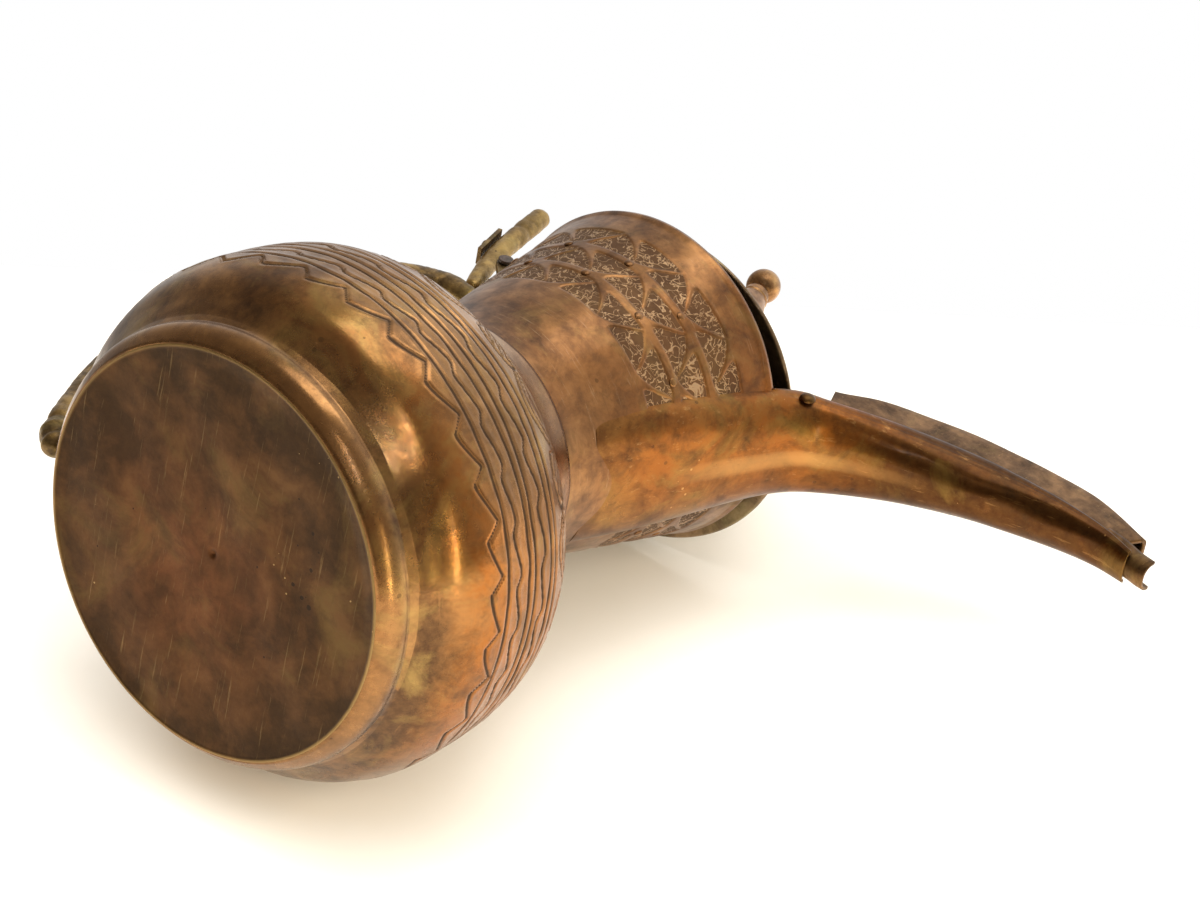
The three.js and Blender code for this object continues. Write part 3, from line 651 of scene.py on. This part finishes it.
# The grounds of the leaves are sunk, except close beside the spout, where the band stops.
LEAF_DEPTH = 0.36
neck_places = np.array([v.co for v in neck.data.vertices]) / MM
neck_turn = np.arctan2(neck_places[:, 1], neck_places[:, 0])
neck_z = neck_places[:, 2]
radii = np.hypot(neck_places[:, 0], neck_places[:, 1])
in_band = (neck_z > BAND_FROM) & (neck_z < BAND_TO) & (radii > neck_radius(neck_z) - 0.45)
off_spout = np.clip((np.abs(neck_turn) - 0.47 + (neck_z - 131) * 0.0031) / 0.05, 0, 1)
ground = leaves_on_neck(neck_turn, neck_z) * in_band * off_spout
by_spout = np.exp(-((neck_turn + 0.1) / 0.55) ** 2) * np.clip((neck_z - 104) / 12, 0, 1)
neck_places[:, :2] *= (1 - LEAF_DEPTH * ground / radii)[:, None]
neck.data.vertices.foreach_set("co", (neck_places * MM).ravel())
mark(neck, "cut", ground * 0.75)
warm, shade = flushed(neck_places)
mark(neck, "warm", warm)
mark(neck, "shade", shade - 0.32 * by_spout)
neck_brass = brass("neck_brass", [(0.085, 0.040, 0.020), (0.21, 0.096, 0.036), (0.37, 0.18, 0.066)],
                   patch=24.0, mottle=140.0, scratch_scale=(90, 90, 1400), scratches=0.4, dull=0.42,
                   shiny=0.26, film=0.16, tan=(0.56, 0.36, 0.19), grime=(0.052, 0.027, 0.013),
                   orange=(0.38, 0.120, 0.019), veined=True)
dress(neck, neck_brass, "pot", "neck_brass", "neck_shell")

# The spout: a long trough of sheet with a round keel, bent up out of the neck and soldered to it.
# Two ruled lines run below its upper edges, and its end is a thin bright rim.
SKIN_COLUMNS = 60


def trough_section(half, depth):
    """The trough's outside from edge to edge, and back along its inside."""
    outside = arc_section(half, depth, 0, SKIN_COLUMNS)
    return np.vstack([outside, arc_section(half, depth, SHEET, 24)[::-1]])


trough = along_spout(TROUGH, trough_section)
ring_number = np.arange(len(trough))[:, None] + 0 * trough[:, :, 0]
column = np.arange(trough.shape[1])[None, :]
on_skin = column < SKIN_COLUMNS
from_edge = np.clip(np.minimum(column, SKIN_COLUMNS - 1 - column), 0, 29)
from_keel = np.abs(column - (SKIN_COLUMNS - 1) / 2)
ruled = np.maximum(groove(from_edge - 4.2, 1.0), groove(from_edge - 7.2, 1.0)) * on_skin * (ring_number > 66)
dents = 0.16 * np.sin(ring_number * 0.17 + from_edge * 0.2) * np.sin(ring_number * 0.053 + 1) * on_skin
trough[:, :, 2] += dents * np.clip((ring_number - 64) / 10, 0, 1) * (from_edge > 5)
trough[:, :, 1] -= np.sign(trough[:, :, 1]) * 0.16 * ruled

# Its root runs out into the neck: below the rim, no part of it lies deeper than the neck's sheet.
RIM_HEIGHT = 177.4
spread = np.hypot(trough[:, :, 0], trough[:, :, 1])
below_rim = neck_radius(np.minimum(trough[:, :, 2], RIM_HEIGHT)) - 0.9
sheet_middle = np.where(trough[:, :, 2] > RIM_HEIGHT, 47.2, below_rim)
fillet = sheet_middle + 0.5 * np.logaddexp(0, (spread - sheet_middle) / 0.5)
trough[:, :, 0] *= fillet / spread
trough[:, :, 1] *= fillet / spread
spout = grid_mesh("spout_trough_skin", trough, close_rows=False, caps=True)
warm, shade = flushed(trough)
# Painted shade darkens the trough's flanks towards its end, and a painted highlight streak runs along the
# keel, coloured like worn metal.
flank_painted_shade = 0.25 * np.clip(from_keel / 8, 0, 1) * np.clip((ring_number - 45) / 30, 0, 1)
keel_highlight = np.exp(-((from_keel - 0.8) / 1.1) ** 2)
keel_highlight = keel_highlight * np.clip((ring_number - 30) / 20, 0, 1) * np.clip((105 - ring_number) / 30, 0, 1)
mark(spout, "cut", (ruled * 0.6).ravel())
mark(spout, "warm", warm.ravel())
mark(spout, "shade", (shade - flank_painted_shade).ravel())
mark(spout, "wear_and_highlight", (0.65 * keel_highlight).ravel())
spout_brass = brass("spout_brass", [(0.052, 0.020, 0.006), (0.135, 0.054, 0.015), (0.28, 0.135, 0.036)],
                    patch=24.0, mottle=140.0, scratch_scale=(60, 700, 260), scratches=0.35, dull=0.38,
                    shiny=0.24, film=0.12, tan=(0.62, 0.33, 0.11), orange=(0.38, 0.120, 0.019))
dress(spout, spout_brass, "pot", "spout_brass", "spout_trough")

# The hood: a channel of darker sheet, bent square along two edges, that stands inside the trough
# and closes it. Its lower jaw runs on past its end as the pouring lip.
HOOD_INSET = 1.15
HOOD = [(54.5, 190.2, 50.2, 199.6, 14.4), (64, 195.5, 58.8, 209.4, 12.8), (80, 204.5, 73.6, 219, 10.8),
        (96, 210, 89.8, 225.8, 9.2), (110, 213.4, 105, 229.2, 8.1), (125, 215.4, 121.4, 231, 6.8),
        (138, 215.6, 142, 226.8, 5.2)]
LIP = [(133, 215.2, 133, 220.6, 6.2), (139, 214.8, 139.6, 220.2, 5.7), (144.6, 213.4, 145, 218.8, 5.4),
       (148, 212.8, 148.6, 218, 5.5), (150.4, 213, 150.6, 217.6, 5.6)]


def hood_section(half, depth, inset, steps=8):
    """Up one wall, over a rounded edge, across the flat top and down the other wall."""
    half = half - HOOD_INSET - inset
    top = depth - inset
    bend = min(1.5, half * 0.4)
    turn = np.linspace(0, np.pi / 2, 5)
    drop = bend * 0.75
    left = np.stack([-half + bend - bend * np.cos(turn), top - drop + drop * np.sin(turn)], axis=1)
    wall = np.stack([np.full(steps, -half), np.linspace(0, top - drop, steps, endpoint=False)], axis=1)
    flat = np.stack([np.linspace(-half + bend, 0, steps + 1)[1:], np.full(steps, top)], axis=1)
    first = np.vstack([wall, left, flat])
    second = first[:-1][::-1] * [-1, 1]
    return np.vstack([first, second])


def channel_section(half, depth):
    return np.vstack([hood_section(half, depth, 0), hood_section(half, depth, SHEET)[::-1]])


def jaw_section(half, depth):
    half = half - HOOD_INSET
    return np.vstack([arc_section(half, depth, 0, 28), arc_section(half, depth, SHEET, 28)[::-1]])


channel = along_spout(HOOD, channel_section)
ring_number = np.arange(len(channel))[:, None] + 0 * channel[:, :, 0]
channel[:, :, 1] += 0.12 * np.sin(ring_number * 0.31) + 0.10 * np.sin(ring_number * 0.13 + 1.4)
channel[:, :, 2] += 0.14 * np.sin(ring_number * 0.23 + channel[:, :, 1] * 0.3)
hood = grid_mesh("hood_channel", channel, close_rows=False, caps=True)
lip = grid_mesh("pouring_lip", along_spout(LIP, jaw_section, 8), close_rows=False, caps=True)
hood_brass = brass("hood_brass", [(0.075, 0.038, 0.016), (0.17, 0.086, 0.034), (0.30, 0.155, 0.060)],
                   patch=45.0, mottle=190.0, scratch_scale=(1500, 90, 500), scratches=0.5, dull=0.50,
                   shiny=0.30, tan=(0.52, 0.31, 0.12), rough=0.45, film=0.05)
dress(hood, hood_brass, "pot", "hood_brass", "spout_hood")
dress(lip, hood_brass, "pot", "hood_brass")

# The rivets and bosses: short brass pins whose heads are hammered round, and on the neck the small
# plain bosses left standing between the leaves. Each head is turned to face out of its sheet.
def geometry_tree(name, inputs):
    """An empty geometry tree with one mesh input and the named ones: {name: (type, value)}."""
    tree = bpy.data.node_groups.new(name, "GeometryNodeTree")
    tree.interface.new_socket("Geometry", in_out="INPUT", socket_type="NodeSocketGeometry")
    for label, (kind, value) in inputs.items():
        made = tree.interface.new_socket(label, in_out="INPUT", socket_type="NodeSocket" + kind)
        if value is not None:
            made.default_value = value
    tree.interface.new_socket("Geometry", in_out="OUTPUT", socket_type="NodeSocketGeometry")
    return tree, node(tree, "NodeGroupInput").outputs


def grown(name, seed_piece, tree, values):
    """Runs a geometry tree on a piece and keeps the result as one plain mesh."""
    modifier = seed_piece.modifiers.new("grow", "NODES")
    modifier.node_group = tree
    sockets = {item.name: item.identifier for item in tree.interface.items_tree
               if item.item_type == "SOCKET" and item.in_out == "INPUT"}
    for label, value in values.items():
        modifier[sockets[label]] = value
    bpy.context.view_layer.update()
    mesh = bpy.data.meshes.new_from_object(seed_piece.evaluated_get(bpy.context.evaluated_depsgraph_get()))
    bpy.data.objects.remove(seed_piece)
    mesh.name = name
    piece = bpy.data.objects.new(name, mesh)
    bpy.context.scene.collection.objects.link(piece)
    return piece


def lumpy(tree, solid, push):
    """Makes instances real, moves the surface along its normals and smooths its shading."""
    solid = output_of(tree, "GeometryNodeRealizeInstances", {"Geometry": solid})
    normal = output_of(tree, "GeometryNodeInputNormal")
    shift = output_of(tree, "ShaderNodeVectorMath", {0: normal, "Scale": push}, operation="SCALE")
    solid = output_of(tree, "GeometryNodeSetPosition", {"Geometry": solid, "Offset": shift})
    return output_of(tree, "GeometryNodeSetShadeSmooth", {"Geometry": solid})


def ended(tree, solid, material):
    """Gives a tree's result its material and its way out."""
    solid = output_of(tree, "GeometryNodeSetMaterial", {"Geometry": solid, "Material": material})
    node(tree, "NodeGroupOutput", {"Geometry": solid})
    return tree


def named(tree, name, kind="FLOAT"):
    return output_of(tree, "GeometryNodeInputNamedAttribute", {"Name": name}, "Attribute", data_type=kind)


def hammered_heads():
    """A tree that sets a hammered dome on each point, turned to face along the point's own arrow."""
    tree, given = geometry_tree("hammered_heads", {
        "Head width": ("Float", 2.2 * MM), "Head height": ("Float", 1.3 * MM),
        "Hammering": ("Float", 0.1 * MM), "Material": ("Material", None)})
    ball = output_of(tree, "GeometryNodeMeshUVSphere", {"Segments": 20, "Rings": 12, "Radius": 1.0}, "Mesh")
    parts = node(tree, "ShaderNodeSeparateXYZ", {0: output_of(tree, "GeometryNodeInputPosition")}).outputs
    flat_base = math_node(tree, "MAXIMUM", parts["Z"], 0.0)
    shape = output_of(tree, "ShaderNodeCombineXYZ", {"X": parts["X"], "Y": parts["Y"], "Z": flat_base})
    half_ball = output_of(tree, "GeometryNodeSetPosition", {"Geometry": ball, "Position": shape})
    facing = named(tree, "facing", "FLOAT_VECTOR")
    turned = output_of(tree, "FunctionNodeAlignRotationToVector", {"Vector": facing}, "Rotation", axis="Z")
    across = math_node(tree, "MULTIPLY", named(tree, "width"), given["Head width"])
    size = output_of(tree, "ShaderNodeCombineXYZ", {"X": across, "Y": across, "Z": given["Head height"]})
    dotted = output_of(tree, "GeometryNodeInstanceOnPoints", {
        "Points": given["Geometry"], "Instance": half_ball, "Rotation": turned, "Scale": size})
    lumps = output_of(tree, "ShaderNodeTexNoise", {"Scale": 900.0, "Detail": 2.0}, "Fac")
    knock = math_node(tree, "MULTIPLY", math_node(tree, "SUBTRACT", lumps, 0.5), given["Hammering"])
    return ended(tree, lumpy(tree, dotted, knock), given["Material"])


heads_tree = hammered_heads()


def heads(name, seats, material, head_width, head_height, hammering=0.12):
    """Domed heads at seats, each [place, facing, width factor], as one mesh."""
    mesh = bpy.data.meshes.new(name)
    mesh.from_pydata([tuple(place) for place, _, _ in seats], [], [])
    facings = np.array([tuple(facing) for _, facing, _ in seats], np.float32)
    mesh.attributes.new("facing", "FLOAT_VECTOR", "POINT").data.foreach_set("vector", facings.ravel())
    widths = [width for _, _, width in seats]
    mesh.attributes.new("width", "FLOAT", "POINT").data.foreach_set("value", widths)
    seed_piece = bpy.data.objects.new(name, mesh)
    bpy.context.scene.collection.objects.link(seed_piece)
    return grown(name, seed_piece, heads_tree, {
        "Head width": head_width * MM, "Head height": head_height * MM, "Hammering": hammering * MM,
        "Material": material})


def seat(name, width=1.0):
    """Where a CAD rivet sits and which way it faces: away from its flat side."""
    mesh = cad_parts[name].data
    flat = max(mesh.polygons, key=lambda face: face.area).normal
    low = min(v.co.dot(-flat) for v in mesh.vertices)
    middle = sum((v.co for v in mesh.vertices), Vector()) / len(mesh.vertices)
    return middle + -flat * (low - middle.dot(-flat)), -flat, width


rivets = heads("spout_rivet_head", [seat("spout_rivet")], spout_brass, 2.3, 1.3)
dress(rivets, spout_brass, "pot", "spout_brass", "spout_rivet")

CLEAR_OF_SPOUT, CLEAR_OF_HANDLE = 0.55, 0.42
bosses = []
for row in range(1, BAND_ROWS):
    z = BAND_FROM + row * (BAND_TO - BAND_FROM) / BAND_ROWS
    seat_radius = float(neck_radius(z)) - 0.25
    for k in range(0, LEAVES_ROUND, 2):
        turn = 2 * math.pi * (k + 0.5 * row) / LEAVES_ROUND
        off_spout = abs((turn + math.pi) % (2 * math.pi) - math.pi) > CLEAR_OF_SPOUT
        if off_spout and abs(turn - math.pi) > CLEAR_OF_HANDLE:
            place = Vector((seat_radius * math.cos(turn), seat_radius * math.sin(turn), z)) * MM
            bosses.append((place, Vector((math.cos(turn), math.sin(turn), -0.16)).normalized(), 1.0))
studs = heads("neck_bosses", bosses, neck_brass, 1.35, 0.55, 0.05)
dress(studs, neck_brass, "pot", "neck_brass")

# The handle: a bar of cast brass, left rough from the sand. It springs from a plate on the neck,
# sweeps out and down and curls back under the bulb to a knobbed tail. A shorter bar stands behind
# the lid for the thumb, and hammered rivets hold both.
def cast_bars():
    """A tree that sweeps a flattened ring along a line, as wide as the line says, with a rough skin."""
    tree, given = geometry_tree("cast_bar", {
        "Sides": ("Int", 28), "Flatness": ("Float", 1.12), "Wear": ("Float", 0.0),
        "Casting skin": ("Float", 0.3 * MM), "Skin scale": ("Float", 260.0), "Material": ("Material", None)})
    line = output_of(tree, "GeometryNodeMeshToCurve", {"Mesh": given["Geometry"]})
    ring = output_of(tree, "GeometryNodeCurvePrimitiveCircle", {"Resolution": given["Sides"], "Radius": 1.0})
    flattened = output_of(tree, "ShaderNodeCombineXYZ", {"X": 1.0, "Y": given["Flatness"], "Z": 1.0})
    ring = output_of(tree, "GeometryNodeTransform", {"Geometry": ring, "Scale": flattened})
    bar = output_of(tree, "GeometryNodeCurveToMesh", {
        "Curve": line, "Profile Curve": ring, "Scale": named(tree, "girth"), "Fill Caps": True})
    wires = {"Scale": given["Skin scale"], "Detail": 4.0, "Roughness": 0.6}
    skin = output_of(tree, "ShaderNodeTexNoise", wires, "Fac")
    lump = math_node(tree, "MULTIPLY", math_node(tree, "SUBTRACT", skin, 0.5), given["Casting skin"])
    bar = lumpy(tree, bar, lump)
    high_spots = math_node(tree, "ADD", math_node(tree, "SUBTRACT", skin, 0.42), given["Wear"])
    wires = {"Geometry": bar, "Name": "wear_and_highlight", "Value": high_spots}
    bar = output_of(tree, "GeometryNodeStoreNamedAttribute", wires, data_type="FLOAT", domain="POINT")
    return ended(tree, bar, given["Material"])


bar_tree = cast_bars()
HANDLE_LEAN = math.radians(3.3)
HANDLE_MIDDLE_Z = 117.0
GRIP = [(-48, 160.5, 3.1), (-55, 162.6, 3.4), (-64, 161.3, 3.5), (-76, 151, 3.7), (-85.5, 128, 3.9),
        (-90, 100, 4.05), (-90.6, 72, 4.05), (-86, 50, 4.0), (-79.4, 33, 3.8), (-74.2, 22, 3.9),
        (-69, 14.2, 4.15), (-64.4, 10.8, 4.0)]
TAIL_RINGS = [(0.93, -0.16), (0.955, 0.1), (0.975, -0.14)]
THUMB = [(-55.4, 167.2, 2.0), (-58.6, 174, 2.3), (-62.8, 185, 2.65), (-66, 197, 2.9), (-68.8, 209, 2.9),
         (-70.6, 217, 2.8)]
THUMB_RINGS = [(0.72, -0.06)]


def leaned(x, y, z):
    """A place on the handle, leaned about the X axis with the casting."""
    c, s = math.cos(HANDLE_LEAN), math.sin(HANDLE_LEAN)
    up = z - HANDLE_MIDDLE_Z
    return x * MM, (y * c - up * s) * MM, (y * s + up * c + HANDLE_MIDDLE_Z) * MM


def cast_bar(name, stops, material, skin, wear, rings):
    """A bar along stops [x, z, half width] with round ends, swollen or waisted by rings along it."""
    line = spline(stops, 24)
    run = np.concatenate([[0], np.cumsum(np.hypot(*np.diff(line[:, :2], axis=0).T))])
    to_end = np.minimum(run, run[-1] - run)
    girth = line[:, 2] * np.sqrt(np.clip(1 - np.clip(1 - to_end / line[:, 2], 0, 1) ** 2, 0.01, 1))
    for place, swell in rings:
        girth = girth * (1 + swell * np.exp(-((run / run[-1] - place) * run[-1] / 1.1) ** 2))
    mesh = bpy.data.meshes.new(name)
    mesh.from_pydata([leaned(x, 0, z) for x, z, _ in line], [(i, i + 1) for i in range(len(line) - 1)], [])
    mesh.attributes.new("girth", "FLOAT", "POINT").data.foreach_set("value", girth * MM)
    seed_piece = bpy.data.objects.new(name, mesh)
    bpy.context.scene.collection.objects.link(seed_piece)
    return grown(name, seed_piece, bar_tree, {"Wear": wear, "Casting skin": skin * MM, "Material": material})


cast_brass = brass("cast_brass", [(0.055, 0.035, 0.018), (0.16, 0.100, 0.045), (0.38, 0.24, 0.085)],
                   patch=90.0, mottle=330.0, scratch_scale=(400, 400, 400), scratches=0.2, dull=0.60,
                   shiny=0.34, pits=0.8, tan=(0.62, 0.40, 0.12), rough=0.9, film=0.15)
grip = cast_bar("cast_grip", GRIP, cast_brass, skin=0.9, wear=0.0, rings=TAIL_RINGS)
dress(grip, cast_brass, "pot", "handle_brass", "handle_grip")
thumb = cast_bar("cast_thumb_rest", THUMB, cast_brass, skin=0.7, wear=0.3, rings=THUMB_RINGS)
dress(thumb, cast_brass, "pot", "handle_brass", "thumb_rest")
handle_rivets = ["handle_rivet_lower_right", "handle_rivet_lower_left", "handle_rivet_upper_right",
                 "handle_rivet_upper_left"]
plate_heads = heads("handle_rivet_heads", [seat(n) for n in handle_rivets], cast_brass, 1.9, 1.25)
dress(plate_heads, cast_brass, "pot", "handle_brass", *handle_rivets)
thumb_head = heads("thumb_rivet_head", [seat("thumb_rivet")], cast_brass, 1.7, 1.2)
dress(thumb_head, cast_brass, "pot", "handle_brass", "thumb_rivet")


# The plates and the hinge: small fittings cut from thick brass and filed by hand, so their edges
# are rounded. The bracket is brazed behind the rim, the strap is riveted to the lid, the pin is iron.
def filed(name, source, width=0.3, segments=2):
    """A copy of a CAD fitting with its edges rounded off."""
    piece = bpy.data.objects.new(name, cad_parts[source].data.copy())
    bpy.context.scene.collection.objects.link(piece)
    weld = piece.modifiers.new("weld", "WELD")
    weld.merge_threshold = 0.002 * MM
    bevel = piece.modifiers.new("file", "BEVEL")
    bevel.width, bevel.segments, bevel.limit_method = width * MM, segments, "ANGLE"
    bevel.angle_limit = math.radians(35)
    bevel.harden_normals = False
    bpy.context.view_layer.update()
    mesh = bpy.data.meshes.new_from_object(piece.evaluated_get(bpy.context.evaluated_depsgraph_get()))
    piece.modifiers.clear()
    piece.data = mesh
    return piece


for source in ("handle_plate", "thumb_plate", "hinge_bracket"):
    dress(filed(source + "_filed", source), cast_brass, "pot", "handle_brass", source)
dress(filed("lid_strap_filed", "lid_strap"), cast_brass, "lid", "handle_brass", "lid_strap")
pin_iron = brass("pin_iron", [(0.030, 0.018, 0.012), (0.070, 0.040, 0.026), (0.14, 0.10, 0.08)],
                 patch=120.0, mottle=400.0, scratches=0.15, dull=0.7, shiny=0.45, tan=(0.20, 0.12, 0.07),
                 rough=1.0, bare=0.7)
dress(filed("hinge_pin_filed", "hinge_pin", 0.2), pin_iron, "pot", "pin_iron", "hinge_pin")
strap_rivets = ["lid_rivet_1", "lid_rivet_2"]
strap_heads = heads("strap_rivet_heads", [seat(n) for n in strap_rivets], cast_brass, 1.45, 1.0)
dress(strap_heads, cast_brass, "lid", "handle_brass", *strap_rivets)

# The lid: a flat flange with a rolled edge round a raised dome, spun from one thickness of sheet.
# It lies a little open on the ends of the trough's walls, slipped sideways along its loose pin.
LID_REST, LID_SKEW, LID_PLAY = math.radians(6), math.radians(2), 3.4
HINGE = Vector((-54.0, LID_PLAY, 178.8))
FLANGE_Z = 177.8
DOME_TOP_Z = FLANGE_Z + 37
LID_COLUMNS = 256
lid_turn = Matrix.Rotation(-LID_REST, 4, "Y") @ Matrix.Rotation(LID_SKEW, 4, "Z")
lid_place = Matrix.Translation(HINGE * MM) @ lid_turn @ Matrix.Translation(Vector((54.0, 0, -178.8)) * MM)


def lathe(name, pairs, place, columns=128, density=10, smooth_line=True):
    """A closed turned piece from [radius, height] pairs, put in its place."""
    line = spline(pairs, density) if smooth_line else np.array(pairs, float)
    piece = grid_mesh(name, revolved(line, np.linspace(0, 2 * np.pi, columns, endpoint=False)))
    piece.data.transform(place)
    return piece


edge_turn = np.linspace(-np.pi / 2, np.pi / 2, 9)
edge = [(45.75 + 0.85 * math.cos(a), FLANGE_Z + 0.75 + 0.75 * math.sin(a)) for a in edge_turn]
flange_line = [(38.35, FLANGE_Z + 0.1), (42, FLANGE_Z + 0.15), *edge, (44.6, FLANGE_Z + 1.15),
               (43.9, FLANGE_Z + 1.0), (40.5, FLANGE_Z + 1.05), (38.35, FLANGE_Z + 1.1),
               (38.35, FLANGE_Z + 0.1)]
flange = lathe("rolled_flange", flange_line, lid_place, LID_COLUMNS, smooth_line=False)
lid_brass = brass("lid_brass", [(0.10, 0.068, 0.040), (0.24, 0.155, 0.088), (0.40, 0.27, 0.15)],
                  patch=40.0, mottle=150.0, scratch_scale=(90, 90, 900), scratches=0.4, dull=0.5,
                  shiny=0.32, tan=(0.58, 0.40, 0.19), rough=0.4)
dress(flange, lid_brass, "lid", "lid_brass", "lid_flange")
DOME_STOPS = [(38, 0), (37.4, 4), (34, 13), (26.5, 21), (18, 28), (11.5, 34), (3, 37)]
RULED_HEIGHTS = (6, 7.6, 19, 20.4, 30.5)
dome_outside = np.array(spline([(r, FLANGE_Z + h) for r, h in DOME_STOPS], 26))
rings_cut = sum(groove(dome_outside[:, 1] - FLANGE_Z - h, 0.55) for h in RULED_HEIGHTS)
dome_grooved = dome_outside - outward(dome_outside) * (0.3 * rings_cut)[:, None]
dome_inside = (dome_outside - outward(dome_outside) * SHEET)[::-2]
dome_angles = np.linspace(0, 2 * np.pi, LID_COLUMNS, endpoint=False)
dome = grid_mesh("lid_cap", revolved(np.vstack([dome_grooved, dome_inside]), dome_angles))
cut_rows = np.concatenate([np.clip(rings_cut, 0, 1), 0 * dome_inside[:, 0]])
mark(dome, "cut", np.repeat(cut_rows, LID_COLUMNS))
dome.data.transform(lid_place)
dress(dome, lid_brass, "lid", "lid_brass", "lid_dome")

# The finial: a turned spire and knob threaded on a peg through the top of the lid, over a collar.
# The worn hole lets it lean back towards the hinge.
FINIAL_BACK, FINIAL_ASIDE = math.radians(12), math.radians(4)
finial_lean = Matrix.Rotation(FINIAL_ASIDE, 4, "X") @ Matrix.Rotation(-FINIAL_BACK, 4, "Y")
finial_place = lid_place @ Matrix.Translation(Vector((0, 0, DOME_TOP_Z)) * MM) @ finial_lean
SPIRE_STOPS = [(0.05, -5.5), (1.9, -5.4), (1.9, 3.7), (6.6, 3.8), (7.3, 4.6), (7.5, 6.2), (7.1, 7.0),
               (7.3, 8.0), (7.2, 12.8), (6.2, 19.8), (4.7, 26.8), (4.1, 28.6), (4.3, 29.4), (3.8, 30.2),
               (3.4, 32.9), (0.05, 33.0)]
KNOB_MIDDLE, KNOB_RADIUS, KNOB_HALF_HEIGHT = 38.0, 5.1, 4.7
spire = lathe("turned_spire", SPIRE_STOPS, finial_place, 72, 5)
finial_brass = brass("finial_brass", [(0.18, 0.085, 0.032), (0.38, 0.19, 0.075), (0.56, 0.31, 0.12)],
                     patch=60.0, mottle=220.0, scratch_scale=(120, 120, 1800), scratches=0.35, dull=0.42,
                     shiny=0.26, tan=(0.68, 0.42, 0.16), rough=0.4, film=0.15)
dress(spire, finial_brass, "lid", "finial_brass", "finial_spire")
knob_turn = np.linspace(-np.pi / 2, np.pi / 2, 25)
knob_line = [(max(KNOB_RADIUS * math.cos(a) ** 0.72, 0.05), KNOB_MIDDLE + KNOB_HALF_HEIGHT * math.sin(a))
             for a in knob_turn]
knob = lathe("turned_knob", knob_line, finial_place, 64, smooth_line=False)
dress(knob, finial_brass, "lid", "finial_brass", "finial_knob")
dress(filed("collar_filed", "finial_collar", 0.5, 3), finial_brass, "lid", "finial_brass", "finial_collar")
dress(filed("washer_filed", "finial_washer", 0.2), lid_brass, "lid", "lid_brass", "finial_washer")
